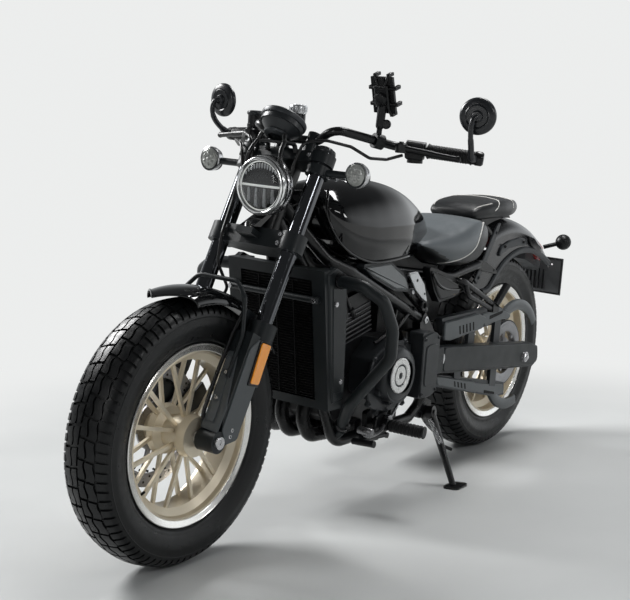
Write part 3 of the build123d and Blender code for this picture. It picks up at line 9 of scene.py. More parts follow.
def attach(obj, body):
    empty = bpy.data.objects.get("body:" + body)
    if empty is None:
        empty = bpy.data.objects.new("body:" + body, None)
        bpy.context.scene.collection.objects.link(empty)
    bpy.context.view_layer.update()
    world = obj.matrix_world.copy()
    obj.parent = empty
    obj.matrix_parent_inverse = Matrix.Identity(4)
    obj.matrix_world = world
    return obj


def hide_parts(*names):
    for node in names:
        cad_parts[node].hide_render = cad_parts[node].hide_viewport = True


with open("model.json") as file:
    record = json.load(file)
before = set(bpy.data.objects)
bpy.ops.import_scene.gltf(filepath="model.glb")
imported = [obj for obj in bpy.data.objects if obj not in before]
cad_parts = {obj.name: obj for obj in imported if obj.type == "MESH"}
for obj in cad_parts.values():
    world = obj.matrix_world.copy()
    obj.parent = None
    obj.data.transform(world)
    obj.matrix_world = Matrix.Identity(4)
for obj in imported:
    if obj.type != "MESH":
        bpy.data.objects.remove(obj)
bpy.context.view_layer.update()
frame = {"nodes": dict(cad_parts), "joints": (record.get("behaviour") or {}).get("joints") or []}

# ------------------------------------------------------------ placing
# Everything is drawn with the motorcycle upright, in millimetres, X forward, Y to the left.
MM = 0.001
LEAN = math.radians(5.0)
RAKE = math.radians(27.0)
FRONT_AXLE = Vector((750.0, 0.0, 320.0))
REAR_AXLE = Vector((-750.0, 0.0, 323.0))
HUB = Vector(next(j["pos_m"] for j in frame["joints"] if j["name"] == "front_wheel_spin"))
TILT = Matrix.Rotation(-LEAN, 4, "X")
PLACE = Matrix.Translation(HUB - (TILT @ FRONT_AXLE) * MM) @ TILT @ Matrix.Scale(MM, 4)
X, Y, Z = Vector((1, 0, 0)), Vector((0, 1, 0)), Vector((0, 0, 1))
SIDES = (1, -1)
TAGS = {1: "_left", -1: "_right"}
MERGE_WITHIN = 0.00002  # metres


def fork(v, y, u):
    """A point v ahead of the front axle and u up along the fork."""
    x = FRONT_AXLE.x + v * math.cos(RAKE) - u * math.sin(RAKE)
    z = FRONT_AXLE.z + v * math.sin(RAKE) + u * math.cos(RAKE)
    return Vector((x, y, z))


AHEAD = fork(1, 0, 0) - fork(0, 0, 0)
UP_FORK = fork(0, 0, 1) - fork(0, 0, 0)


def around(centre, r, deg, y):
    """A point at radius r and side y of an axle; 0 degrees is straight up, 90 is ahead."""
    a = math.radians(deg)
    return Vector((centre.x + r * math.sin(a), y, centre.z + r * math.cos(a)))


def flank(y, q=1):
    """Plate mapping (x, z, height): the plate stands out sideways from y, on side q."""
    return lambda a, b, h: Vector((a, q * (y + h), b))


def axes(origin, x, y, z):
    """A matrix with these axes and origin."""
    m = Matrix((x, y, z)).transposed().to_4x4()
    m.translation = origin
    return m


def steady(way):
    """An axis that is well away from a direction."""
    return Z if abs(way.z) < 0.9 else X


def basis(origin, axis):
    """A matrix whose Z runs along axis from origin."""
    z = Vector(axis).normalized()
    x = steady(z).cross(z).normalized()
    return axes(origin, x, z.cross(x), z)


# ------------------------------------------------------------ lines and outlines
def steps(a, b, n):
    """Numbers from a to b in n equal steps."""
    return [a + (b - a) * i / n for i in range(n + 1)]


def spin(count, radius=1.0, start=0.0, step=None):
    """Points (a, b) round a circle, from start and every step degrees."""
    turns = (math.radians(start + (step or 360 / count) * k) for k in range(count))
    return [(radius * math.cos(t), radius * math.sin(t)) for t in turns]


def corner(before, q, after, radius, share, count):
    """A rounded corner at q that takes up to a share of each side."""
    a, b = before - q, after - q
    d = min(radius, a.length * share, b.length * share)
    s, e = q + a.normalized() * d, q + b.normalized() * d
    return [s * (1 - t) ** 2 + q * 2 * t * (1 - t) + e * t * t for t in steps(0, 1, count)]


def rounded(points, radius, count=6):
    """The closed outline with rounded corners."""
    pts = [Vector(p) for p in points]
    out = []
    for before, q, after in zip(pts[-1:] + pts, pts, pts[1:] + pts[:1]):
        out += [tuple(p) for p in corner(before, q, after, radius, 0.45, count)]
    return out


def bent(points, radius, count=7):
    """An open route with rounded corners."""
    pts = [Vector(p) for p in points]
    out = pts[:1]
    for before, q, after in zip(pts, pts[1:], pts[2:]):
        out += corner(before, q, after, radius, 0.48, count)
    return out + pts[-1:]


def curve(points, count=8):
    """A smooth line through the points."""
    pts = [Vector(p) for p in points]
    out = []
    for p0, p1, p2, p3 in zip(pts[:1] + pts, pts, pts[1:], pts[2:] + pts[-1:]):
        for t in steps(0, 1, count)[:-1]:
            out.append(0.5 * (2 * p1 + (p2 - p0) * t + (2 * p0 - 5 * p1 + 4 * p2 - p3) * t * t
                              + (3 * p1 - p0 - 3 * p2 + p3) * t**3))
    return out + pts[-1:]


def half_curve(points, count):
    """A smooth line through (across, up) points that meets its mirror image level."""
    across, up = points[-2]
    return curve(points + [(-across, up)], count)[: count * (len(points) - 1) + 1]


def mirrored(x, half):
    """The closed section at x from its left half, which starts and ends in the middle."""
    return [Vector((x, y, z)) for y, z in half] + [Vector((x, -y, z)) for y, z in half[-2:0:-1]]


def values(rows, x):
    """Smooth values of a table's other columns where its first column is x."""
    for i, (a, b) in enumerate(zip(rows, rows[1:])):
        if min(a[0], b[0]) <= x <= max(a[0], b[0]):
            p, q = rows[max(i - 1, 0)], rows[min(i + 2, len(rows) - 1)]
            span = b[0] - a[0]
            t = (x - a[0]) / span
            t2, t3 = t * t, t * t * t
            return [(2 * t3 - 3 * t2 + 1) * a[k] + (3 * t2 - 2 * t3) * b[k]
                    + (t3 - 2 * t2 + t) * (b[k] - p[k]) / (b[0] - p[0]) * span
                    + (t3 - t2) * (q[k] - a[k]) / (q[0] - a[0]) * span for k in range(1, len(a))]
    return min(rows[0], rows[-1], key=lambda row: abs(x - row[0]))[1:]


def inset(points, d):
    """The outline moved inwards by d."""
    pts = [Vector(p) for p in points]
    out = []
    for p, q, r in zip(pts[-1:] + pts, pts, pts[1:] + pts[:1]):
        a, b = (q - p).normalized(), (r - q).normalized()
        na, nb = Vector((-a.y, a.x)), Vector((-b.y, b.x))
        m = na + nb if (na + nb).length >= 1e-6 else na
        m.normalize()
        k = d / max(0.35, m.dot(na))
        out.append((q.x + m.x * k, q.y + m.y * k))
    return out


def anticlockwise(points):
    area = sum(x0 * y1 - x1 * y0 for (x0, y0), (x1, y1) in zip(points, points[1:] + points[:1]))
    return list(points) if area > 0 else list(points)[::-1]


# ------------------------------------------------------------ mesh kit
class Shape:
    """Points and faces gathered in the upright drawing, made into one object at the end."""

    def __init__(self):
        self.v = []
        self.f = []

    def add(self, verts, faces):
        base = len(self.v)
        self.v += [Vector(p) for p in verts]
        self.f += [[i + base for i in face] for face in faces]
        return self

    def loft(self, rings, closed=True, around=False):
        """A skin over rings of equally many points, capped unless it is open or runs around."""
        n, count = len(rings[0]), len(rings)
        faces = []
        for i in range(count if around else count - 1):
            a, b = i * n, (i + 1) % count * n
            for j in range(n if closed else n - 1):
                k = (j + 1) % n
                faces.append([a + j, a + k, b + k, b + j])
        if closed and not around:
            faces.append(list(range(n))[::-1])
            faces.append([(count - 1) * n + j for j in range(n)])
        return self.add([p for ring in rings for p in ring], faces)

    def lathe(self, profile, origin, axis, seg=48, closed=False):
        """A turned shape; profile is (radius, height along the axis)."""
        m = basis(origin, axis)
        n = len(profile)
        faces = []
        for k in range(seg):
            a, b = k * n, (k + 1) % seg * n
            for j in range(n if closed else n - 1):
                i = (j + 1) % n
                if not closed and profile[j][0] < 1e-6:
                    faces.append([a + j, b + i, a + i])
                elif not closed and profile[i][0] < 1e-6:
                    faces.append([a + j, b + j, a + i])
                else:
                    faces.append([a + j, b + j, b + i, a + i])
        return self.add([m @ Vector((r * c, r * s, h)) for c, s in spin(seg) for r, h in profile], faces)

    def tube(self, points, radius, seg=12, closed=False):
        """A round section swept along points; radius may be a list."""
        pts = [Vector(p) for p in points]
        radii = radius if isinstance(radius, list) else [radius] * len(pts)
        before = pts[-1:] if closed else pts[:1]
        after = pts[:1] if closed else pts[-1:]
        rings = []
        up = None
        for last, p, following, r in zip(before + pts, pts, pts[1:] + after, radii):
            way = (following - last).normalized()
            if up is None:
                up = steady(way)
            up = (up - way * up.dot(way)).normalized()
            side = way.cross(up)
            rings.append([p + (up * c + side * s) * r for c, s in spin(seg)])
        return self.loft(rings, around=closed)

    def plate(self, outline, to3d, low, high, bevel=1.0):
        """A bevelled plate; to3d maps (a, b, height) into the drawing."""
        flat = anticlockwise(outline)
        small = inset(flat, bevel)
        levels = ((small, low), (flat, low + bevel), (flat, high - bevel), (small, high))
        return self.loft([[to3d(a, b, h) for a, b in line] for line, h in levels])

    def box(self, low, high, bevel=1.0, matrix=Matrix()):
        (x0, y0, z0), (x1, y1, z1) = low, high
        flat = [(x0, y0), (x1, y0), (x1, y1), (x0, y1)]
        return self.plate(flat, lambda a, b, h: matrix @ Vector((a, b, h)), z0, z1, bevel)

    def bolt(self, origin, axis, r, h):
        """A round screw head with a socket."""
        profile = [(r, 0), (r, h * 0.6), (r * 0.82, h), (r * 0.5, h), (r * 0.5, h * 0.35), (0, h * 0.3)]
        return self.lathe(profile, origin, axis, 20)

    def nut(self, origin, axis, r, h):
        """A six-sided head."""
        m = basis(origin, axis)
        levels = ((r, 0), (r, h * 0.8), (r * 0.86, h))
        return self.loft([[m @ Vector((rr * c, rr * s, hh)) for c, s in spin(6)] for rr, hh in levels])

    def make(self, name, body, slot, look, smooth=38.0, replaces=(), wall=0.0):
        """The finished object, riding on a body, shaded smooth below an angle in degrees."""
        mesh = bpy.data.meshes.new(name)
        mesh.from_pydata([PLACE @ p for p in self.v], [], self.f)
        obj = bpy.data.objects.new(name, mesh)
        bpy.context.scene.collection.objects.link(obj)
        bm = bmesh.new()
        bm.from_mesh(mesh)
        bmesh.ops.remove_doubles(bm, verts=bm.verts, dist=MERGE_WITHIN)
        bmesh.ops.recalc_face_normals(bm, faces=bm.faces)
        bm.to_mesh(mesh)
        bm.free()
        if wall:
            mod = obj.modifiers.new("wall", "SOLIDIFY")
            mod.thickness = wall * MM
            mod.offset = -1
            mod.use_rim = True
            graph = bpy.context.evaluated_depsgraph_get()
            mesh = bpy.data.meshes.new_from_object(obj.evaluated_get(graph))
            obj.modifiers.clear()
            obj.data = mesh
            mesh.name = name
        mesh.polygons.foreach_set("use_smooth", [True] * len(mesh.polygons))
        mesh.set_sharp_from_angle(angle=math.radians(smooth))
        mesh.materials.clear()
        mesh.materials.append(LOOKS[look])
        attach(obj, body)
        if replaces:
            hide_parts(*replaces)
        return obj


# ------------------------------------------------------------ materials
def feed(tree, node, inputs):
    """Sets a node's inputs, each to a value or to the output that drives it."""
    for key, value in inputs.items():
        if isinstance(value, bpy.types.NodeSocket):
            tree.links.new(value, node.inputs[key])
        else:
            node.inputs[key].default_value = value


def add_node(tree, kind, inputs=None, out=0, **settings):
    """A new shader node with its settings and inputs; gives one of its outputs, where it has any."""
    node = tree.nodes.new("ShaderNode" + kind)
    for key, value in settings.items():
        setattr(node, key, value)
    feed(tree, node, inputs or {})
    return node.outputs[out] if node.outputs else None


def material(name, color, rough, metal, vary, scale, rough_vary, bump=0.0, bump_scale=0.0, grain=False,
             spec=0.5, coat=None, sheen=0.0, emission=0.0, tint=None, stretch=(1, 1, 1), **extra):
    """A surface whose colour, roughness and relief vary a little; extra names more sockets."""
    made = bpy.data.materials.new(name)
    made.use_nodes = True
    tree = made.node_tree
    shader = tree.nodes["Principled BSDF"]
    place = add_node(tree, "Mapping", {"Vector": add_node(tree, "TexCoord", out="Object"), "Scale": stretch})

    def noise(size, detail):
        return add_node(tree, "TexNoise", {"Vector": place, "Scale": size, "Detail": detail}, "Fac")

    dark = (*[c * (1 - vary) for c in color], 1)
    light = (*[min(1, c * (1 + vary)) for c in tint or color], 1)
    feed(tree, shader, {
        "Metallic": metal, "IOR": 1.5, "Specular IOR Level": spec, "Sheen Weight": sheen,
        "Base Color": add_node(tree, "Mix", {"A": dark, "B": light, "Factor": noise(scale, 5)}, "Result",
                               data_type="RGBA"),
        "Roughness": add_node(tree, "MapRange", {
            "Value": noise(scale * 3.1, 4), "From Min": 0.3, "From Max": 0.7,
            "To Min": max(0.0, rough - rough_vary), "To Max": min(1.0, rough + rough_vary)}, "Result"),
        **extra,
    })
    if coat:
        feed(tree, shader, {"Coat Weight": coat[0], "Coat Roughness": coat[1]})
    if bump:
        if grain:
            height = add_node(tree, "TexVoronoi", {"Vector": place, "Scale": bump_scale}, "Distance")
        else:
            height = noise(bump_scale, 3)
        relief = {"Height": height, "Strength": bump, "Distance": 0.0006}
        feed(tree, shader, {"Normal": add_node(tree, "Bump", relief, "Normal")})
    # A glow in the surface's own colour. On the lamp's LEDs it is their own light; on the headlight's
    # reflector dish, its posts and the amber reflectors it is painted light.
    if emission:
        feed(tree, shader, {"Emission Color": (*color, 1), "Emission Strength": emission})
    return made


def radial_mix(made, axle, radius, color, rough, metal):
    """Inside a material, another finish beyond a radius in mm from a sideways axle."""
    tree = made.node_tree
    shader = tree.nodes["Principled BSDF"]
    place = add_node(tree, "TexCoord", out="Object")
    offset = add_node(tree, "VectorMath", {0: place, 1: PLACE @ axle}, operation="SUBTRACT")
    across = add_node(tree, "VectorMath", {0: offset, 1: (TILT @ Y).normalized()}, operation="CROSS_PRODUCT")
    length = add_node(tree, "VectorMath", {0: across}, "Value", operation="LENGTH")
    beyond = add_node(tree, "Math", {0: length, 1: radius * MM}, operation="GREATER_THAN")
    for name, value in (("Base Color", (*color, 1)), ("Roughness", rough), ("Metallic", metal)):
        socket = shader.inputs[name]
        old = socket.links[0].from_socket if socket.links else socket.default_value
        kind = "RGBA" if name == "Base Color" else "FLOAT"
        mix = add_node(tree, "Mix", {"A": old, "B": value, "Factor": beyond}, "Result", data_type=kind)
        feed(tree, shader, {name: mix})


LOOKS = {}
# Columns: colour, roughness, metal, colour variation, noise scale, roughness variation, then bump, its
# scale and whether it is a grain where the surface has relief; after them the sockets set by name.
for look, row, options in (
    ("gloss_black", ((0.0025, 0.0027, 0.0032), 0.06, 0, 0.2, 6, 0.03, 0.015, 900), {}),
    ("frame_black", ((0.0045, 0.0048, 0.0055), 0.30, 0, 0.2, 9, 0.06, 0.05, 700), dict(spec=0.4)),
    ("charcoal_satin", ((0.0125, 0.0155, 0.0170), 0.38, 0, 0.12, 8, 0.06, 0.10, 1500), dict(spec=0.3)),
    ("satin_grey", ((0.040, 0.044, 0.048), 0.38, 0.2, 0.08, 8, 0.05, 0.10, 1500), dict(spec=0.35)),
    ("fork_grey", ((0.062, 0.070, 0.075), 0.36, 0.1, 0.1, 8, 0.05, 0.08, 1500), {}),
    ("panel_grey", ((0.17, 0.18, 0.185), 0.38, 0.35, 0.08, 8, 0.05, 0.10, 1500), dict(coat=(0.1, 0.3))),
    ("guard_satin", ((0.085, 0.095, 0.10), 0.40, 0.25, 0.1, 9, 0.05, 0.12, 1400), dict(coat=(0.1, 0.3))),
    ("fender_satin", ((0.012, 0.013, 0.015), 0.22, 0, 0.12, 7, 0.04, 0.03, 1200), dict(spec=0.8)),
    ("mirror_black", ((0.012, 0.0135, 0.016), 0.30, 0, 0.2, 9, 0.05, 0.05, 900), {}),
    ("dark_polish", ((0.125, 0.130, 0.140), 0.10, 1.0, 0.1, 20, 0.04), {}),
    ("gold_front", ((0.74, 0.660, 0.515), 0.36, 0.55, 0.08, 10, 0.05, 0.08, 1200), dict(coat=(0.1, 0.2))),
    ("gold_rear", ((0.74, 0.660, 0.515), 0.36, 0.55, 0.08, 10, 0.05, 0.08, 1200), dict(coat=(0.1, 0.2))),
    ("rim_lip", ((0.84, 0.83, 0.80), 0.22, 0.85, 0.06, 40, 0.05, 0.05, 600), {}),
    ("tyre_rubber", ((0.0070, 0.0076, 0.0080), 0.36, 0, 0.3, 20, 0.10, 0.25, 900), dict(spec=0.3)),
    ("plated_steel", ((0.55, 0.55, 0.56), 0.25, 1.0, 0.1, 60, 0.08, 0.05, 800), {}),
    ("dark_steel", ((0.20, 0.20, 0.205), 0.30, 0.9, 0.15, 40, 0.08, 0.08, 800), {}),
    ("disc_steel", ((0.30, 0.30, 0.31), 0.32, 1.0, 0.1, 80, 0.08, 0.1, 800), {}),
    ("chrome", ((0.80, 0.81, 0.82), 0.06, 1.0, 0.04, 15, 0.03), {}),
    ("ring_chrome", ((0.86, 0.87, 0.87), 0.17, 0.85, 0.05, 20, 0.04, 0.03, 500), {}),
    ("ring_alloy", ((0.72, 0.72, 0.71), 0.30, 0.75, 0.06, 50, 0.06, 0.08, 900), {}),
    ("brushed_plate", ((0.56, 0.57, 0.58), 0.34, 1.0, 0.12, 60, 0.1, 0.1, 500), dict(stretch=(1, 1, 12))),
    ("cast_alloy", ((0.30, 0.30, 0.31), 0.40, 0.9, 0.12, 30, 0.08, 0.2, 900), {}),
    ("engine_black", ((0.0050, 0.0053, 0.0060), 0.34, 0, 0.2, 16, 0.08, 0.25, 1100), dict(spec=0.3)),
    ("cover_grey", ((0.0230, 0.0255, 0.0280), 0.34, 0.1, 0.12, 12, 0.06, 0.12, 1300), dict(spec=0.35)),
    ("barrel_fin", ((0.13, 0.13, 0.135), 0.34, 0.7, 0.15, 30, 0.08, 0.12, 800), {}),
    # This look also paints the shade of holes and slots in the heel plates, belt guards and brake discs.
    ("radiator_core", ((0.0020, 0.0020, 0.0024), 0.6, 0, 0.3, 30, 0.1, 0.3, 500), dict(spec=0.2)),
    ("exhaust_black", ((0.0085, 0.0085, 0.0090), 0.30, 0.5, 0.25, 9, 0.10, 0.1, 800), dict(spec=0.4)),
    ("grip_rubber", ((0.0055, 0.0057, 0.0062), 0.50, 0, 0.25, 30, 0.08, 0.35, 1400, True), dict(spec=0.3)),
    ("black_plastic", ((0.0045, 0.0048, 0.0054), 0.36, 0, 0.2, 12, 0.07, 0.2, 1500, True), dict(spec=0.3)),
    ("cable_black", ((0.0040, 0.0040, 0.0045), 0.34, 0, 0.2, 40, 0.06, 0.08, 900), dict(spec=0.4)),
    ("seat_hide", ((0.072, 0.084, 0.092), 0.36, 0, 0.1, 7, 0.06, 0.22, 1000, True),
     dict(sheen=0.08, tint=(0.082, 0.096, 0.104))),
    ("black_hide", ((0.0075, 0.0086, 0.0096), 0.38, 0, 0.18, 8, 0.07, 0.3, 900, True),
     dict(sheen=0.02, spec=0.35)),
    ("pale_thread", ((0.62, 0.61, 0.58), 0.7, 0, 0.1, 60, 0.05, 0.4, 3000), dict(sheen=0.2)),
    # The amber reflector's glow is painted light.
    ("amber_reflector", ((0.85, 0.30, 0.02), 0.18, 0, 0.15, 40, 0.05, 0.5, 700, True),
     dict(coat=(0.8, 0.05), emission=0.12)),
    ("red_lens", ((0.45, 0.008, 0.008), 0.12, 0, 0.15, 30, 0.04, 0.4, 500, True), dict(coat=(1.0, 0.04))),
    ("clear_lens", ((0.95, 0.96, 0.97), 0.03, 0, 0.02, 10, 0.015), {"IOR": 1.3, "Transmission Weight": 1.0}),
    ("signal_glass", ((0.36, 0.37, 0.35), 0.14, 0.2, 0.25, 90, 0.06, 0.6, 500, True), dict(coat=(1.0, 0.04))),
    ("mirror_glass", ((0.78, 0.80, 0.82), 0.02, 1.0, 0.02, 10, 0.01), {}),
    ("led_white", ((0.92, 0.93, 0.90), 0.3, 0, 0.05, 40, 0.05, 0.2, 600),
     dict(coat=(0.5, 0.1), emission=0.25)),
    # The headlight's reflector dish and its posts glow: painted light standing in for light that reaches them
    # through the glass.
    ("reflector", ((0.42, 0.43, 0.44), 0.34, 0.30, 0.25, 40, 0.05, 0.1, 300), dict(emission=0.20)),
    ("lamp_post", ((0.20, 0.205, 0.21), 0.30, 0.5, 0.25, 40, 0.05, 0.1, 300), dict(emission=0.16)),
    ("dial_face", ((0.006, 0.0065, 0.0075), 0.10, 0, 0.1, 10, 0.03), {}),
    ("blank_plate", ((0.16, 0.165, 0.17), 0.40, 0.3, 0.2, 20, 0.1, 0.3, 300), dict(coat=(0.1, 0.3))),
):
    LOOKS[look] = material(look, *row, **options)

BARE_RIM = (203.5, (0.88, 0.87, 0.84), 0.26, 0.75)  # from this radius: colour, roughness, metal
radial_mix(LOOKS["gold_front"], FRONT_AXLE, *BARE_RIM)
radial_mix(LOOKS["gold_rear"], REAR_AXLE, *BARE_RIM)

for look, nodes in {
    "frame_black": "main_frame pillion_pegs handlebar mirrors side_stand",
    "charcoal_satin": "swingarm radiator_shroud crash_bars rear_fender lower_clamp top_clamp fork_legs "
                      "fork_brace front_signals",
    "satin_grey": "fender_rails belt_guards",
    "gloss_black": "fuel_tank front_fender headlight",
    "engine_black": "rear_shock crankcase cylinders rear_caliper foot_controls front_caliper",
    "cover_grey": "engine_covers tank_panels instrument_pod",
    "black_plastic": "pillion_base side_covers airbox rear_signals hand_controls phone_holder",
    "plated_steel": "rear_axles front_axle",
    "disc_steel": "front_disc rear_disc",
    "exhaust_black": "exhaust_pipes muffler",
    "tyre_rubber": "front_tyre rear_tyre",
    "grip_rubber": "drive_belt grips",
    "radiator_core": "radiator", "seat_hide": "rider_seat", "black_hide": "pillion_seat",
    "brushed_plate": "frame_plates", "red_lens": "tail_lamp", "blank_plate": "plate_bracket",
    "dark_polish": "fork_tubes", "clear_lens": "headlight_lens", "cable_black": "control_cables",
    "gold_front": "front_wheel", "gold_rear": "rear_wheel", "cast_alloy": "rear_pulley", "chrome": "fuel_cap",
}.items():
    for name in nodes.split():
        slots = frame["nodes"][name].data.materials
        if not slots:
            slots.append(LOOKS[look])
        for i in range(len(slots)):
            slots[i] = LOOKS[look]

# ------------------------------------------------------------ tank
TANK = [  # x, corner half width, corner height, half width, top height
    (-323, 10, 704, 13, 730), (-318, 22, 699, 27, 750), (-304, 29, 698, 36, 762), (-290, 34, 698, 43, 771),
    (-240, 56, 698, 66, 808), (-180, 79, 697, 90, 838), (-105, 106, 696, 117, 868), (-26, 128, 695, 140, 889),
    (73, 139, 694, 151, 901), (150, 138, 695, 151, 903), (200, 133, 706, 146, 902), (240, 127, 721, 140, 899),
    (286, 116, 753, 128, 891), (304, 107, 781, 115, 883), (314, 98, 806, 103, 874), (320, 91, 833, 93, 862),
    (322, 74, 838, 76, 857),
]
CAP = (120, 0, 901)
CAP_HINGE = (164, 0, 909)


def tank():
    rings = []
    for x in steps(-323, -290, 8)[:-1] + steps(-290, 286, 44)[:-1] + steps(286, 322, 14):
        yc, zc, w, zt = values(TANK, x)
        h = zt - zc
        wall = [(yc - 1, zc + 0.2), (w - 1, zc + 0.2 * h), (w, zc + 0.36 * h), (0.955 * w, zc + 0.56 * h),
                (0.79 * w, zc + 0.78 * h), (0.47 * w, zc + 0.94 * h), (0, zt)]
        rings.append(mirrored(x, [(0, zc), (yc * 0.6, zc)] + half_curve(wall, 5)))
    Shape().loft(rings).make("tank_shell", "chassis", "painted_black_gloss", "gloss_black", 40, ["fuel_tank"])
    bead = Shape()
    for q in SIDES:
        line = [(306, q * 84, 884), (316, q * 90, 862), (320, q * 93, 833)]
        for x in (314, 304, 286, 262, 240, 200, 150, 73, -26, -105, -180, -240, -290):
            y, z = values(TANK, x)[:2]
            line.append((x, q * (y + 2), z - 0.5))
        bead.tube(curve(line + [(-322, q * 6, 701)], 6), 3.6, 10)
    bead.make("tank_seam", "chassis", "painted_black_gloss", "gloss_black")
    rim = [(41.5, -6), (46, -3), (47.5, 1.5), (45, 4), (42, 4), (41.2, 0)]
    Shape().lathe(rim, CAP, Z, closed=True).make("filler_rim", "chassis", "cap_steel", "brushed_plate")
    cap = Shape().lathe([(38, 0), (38.5, 6), (36, 9.5), (26, 11), (24, 9.6), (0, 9.6)], CAP, Z)
    for a, b in spin(6, 31):
        cap.bolt((CAP[0] + a, b, 910), Z, 3.2, 2.6)
    cap.box((104, -4, 910), (136, 4, 914), 1.2)
    cap.box((146, -7, 904.5), (161, 7, 909.5), 1.2)
    cap.lathe([(3.4, -7.6), (4.6, -7.6), (4.6, 7.6), (3.4, 7.6)], CAP_HINGE, Y, 24, True)
    cap.make("filler_cap", "tank_cap", "cap_steel", "chrome")
    ears = Shape()
    for q in SIDES:
        outline = rounded([(161.6, 896), (161.6, 912), (166.5, 914.5), (170, 911), (171, 896)], 3, 3)
        ears.plate(outline, flank(9.2, q), 0, 5.2, 0.8)
        ears.lathe([(3.4, 14.2), (5.2, 14.2), (5.2, 15.0), (3.4, 15.0)], CAP_HINGE, Y * q, 24, True)
    ears.make("cap_hinge_ears", "chassis", "cap_steel", "brushed_plate")


# ------------------------------------------------------------ fenders
FENDER_WALL = 3.0
FRONT_HALF_WIDTH = 76
REAR_EDGE = [(-52, 402), (-43.9, 384), (-23.8, 349), (-5.5, 319), (13.6, 286), (24, 266),
             (33, 258), (41, 282), (48, 332)]  # angle at the rear axle, radius of the skirt's edge
REAR_FRONT = [(330, 49), (346, 47), (368, 34.4), (400, 20), (420, 15), (437, 13)]  # radius, front angle
SKIRT_Y = 92.0
CROWN_FROM = 390
SKIRT_SHARE = 0.45


def front_fender():
    rows = []
    for phi in (math.radians(a) for a in steps(-90, 90, 24)):
        side = math.sin(phi)
        r = 348 - 33 * (1 - math.cos(phi)) ** 1.15
        start = 17.5 - 11.5 * abs(side) ** 0.9
        end = -62 + 3.5 * abs(side) ** 3
        rows.append([around(FRONT_AXLE, r, a, FRONT_HALF_WIDTH * side) for a in steps(start, end, 56)])
    rows = list(zip(*rows))
    skin = Shape().loft(rows, closed=False)
    skin.make("front_fender_skin", "steering", "painted_black_gloss", "gloss_black", 50,
              ["front_fender"], FENDER_WALL)
    last = [row[-1] for row in rows]
    first = [row[0] for row in rows]
    rim = list(rows[0]) + last[1:] + list(rows[-1])[-2::-1] + first[-2:0:-1]
    edge = Shape().tube(rim, 2.6, 8, True)
    edge.make("front_fender_edge", "steering", "painted_black_gloss", "gloss_black")
    tabs = Shape()
    for q in SIDES:
        outline = rounded([(-44, 196), (-12, 196), (2, 326), (-62, 326)], 8)
        tabs.plate(outline, lambda a, b, h: fork(a, q * (75 + h), b), 0, 4.5, 0.8)
        for u in (216, 250):
            tabs.bolt(fork(-28, q * 74, u), Y * -q, 6, 4)
    tabs.make("fender_tabs", "steering", "charcoal_satin", "charcoal_satin")


def rear_skin_point(theta, t):
    """t runs from 0 at the left skirt's edge to 1 at the right one."""
    q = 2 * min(t, 1 - t)
    edge = values(REAR_EDGE, theta)[0]
    if q < SKIRT_SHARE:
        r = edge + (CROWN_FROM - edge) * (q / SKIRT_SHARE) if edge < CROWN_FROM else edge
        y = SKIRT_Y
    else:
        phi = math.radians(90 * (q - SKIRT_SHARE) / (1 - SKIRT_SHARE))
        r = max(CROWN_FROM + 46 * math.sin(phi), edge if edge > CROWN_FROM else 0)
        y = SKIRT_Y * math.cos(phi)
    limit = values(REAR_FRONT, min(max(r, 330), 437))[0]
    return around(REAR_AXLE, r, min(theta, limit), y if t < 0.5 else -y)


def rear_fender():
    rows = [[rear_skin_point(theta, t) for t in steps(0, 1, 44)] for theta in steps(49, -50, 66)]
    skin = Shape().loft(rows, closed=False)
    skin.make("rear_fender_skin", "chassis", "painted_black_gloss", "fender_satin", 55,
              ["rear_fender"], FENDER_WALL)
    band = Shape()
    for q in SIDES:
        rings = []
        for theta in steps(40, -47, 44):
            r = values(REAR_EDGE, theta)[0] - 1
            rings.append([around(REAR_AXLE, r + d, theta, q * (SKIRT_Y + h)) for d, h in
                          ((-2, -3), (-3, 2), (2, 7), (14, 7.5), (19, 3), (18, 0.2), (6, 0.2))])
        band.loft(rings)
        upper = [(-656, 652), (-672, 676), (-722, 690), (-800, 696), (-838, 690), (-848, 672),
                 (-838, 668), (-800, 672), (-726, 668), (-676, 652), (-664, 644)]
        band.plate(rounded(upper, 7, 4), flank(91, q), 0, 8, 2)
    band.make("fender_bands", "chassis", "guard_grey", "satin_grey", 40, ["fender_rails"])
    arm = Shape()
    for q in SIDES:
        lower = [(-484, 622), (-500, 646), (-560, 640), (-640, 604), (-650, 590), (-560, 606)]
        arm.plate(rounded(lower, 8, 4), flank(92.5, q), 0, 10, 2)
        for x, z in ((-510, 632), (-620, 606), (-690, 676), (-820, 682)):
            arm.bolt((x, q * 99, z), Y * q, 6, 4.5)
        tip = [(-857, 699), (-900, 690), (-951, 655), (-962, 636), (-930, 640), (-880, 668)]
        arm.plate(rounded(tip, 6, 4), flank(91, q), 0, 9, 2)
    arm.make("fender_arms", "chassis", "frame_black", "frame_black")


# ------------------------------------------------------------ seats
RIDER = [  # x, half width, top, bottom
    (-541, 84, 744, 722), (-534, 104, 757, 704), (-515, 124, 766, 684), (-480, 138, 770, 662),
    (-440, 147, 768, 648), (-390, 152, 760, 643), (-340, 153, 750, 643), (-280, 150, 741, 650),
    (-220, 143, 736, 668), (-165, 132, 732, 694), (-128, 118, 726, 713),
]
PILLION = [  # x, half width, top, bottom
    (-818, 50, 806, 788), (-812, 62, 812, 780), (-790, 78, 817, 772), (-740, 92, 821, 766),
    (-680, 100, 822, 765), (-620, 100, 820, 765), (-570, 96, 815, 764), (-530, 88, 808, 764),
    (-508, 80, 798, 768), (-498, 70, 790, 774),
]
SEAT_SEAM = [  # x, height of the seam on the saddle's flanks
    (-250, 656), (-260, 662), (-313, 671), (-359, 685), (-393, 703), (-420, 728), (-448, 747), (-475, 758),
    (-505, 763), (-536, 750),
]
PILLION_CROWN = 4.0


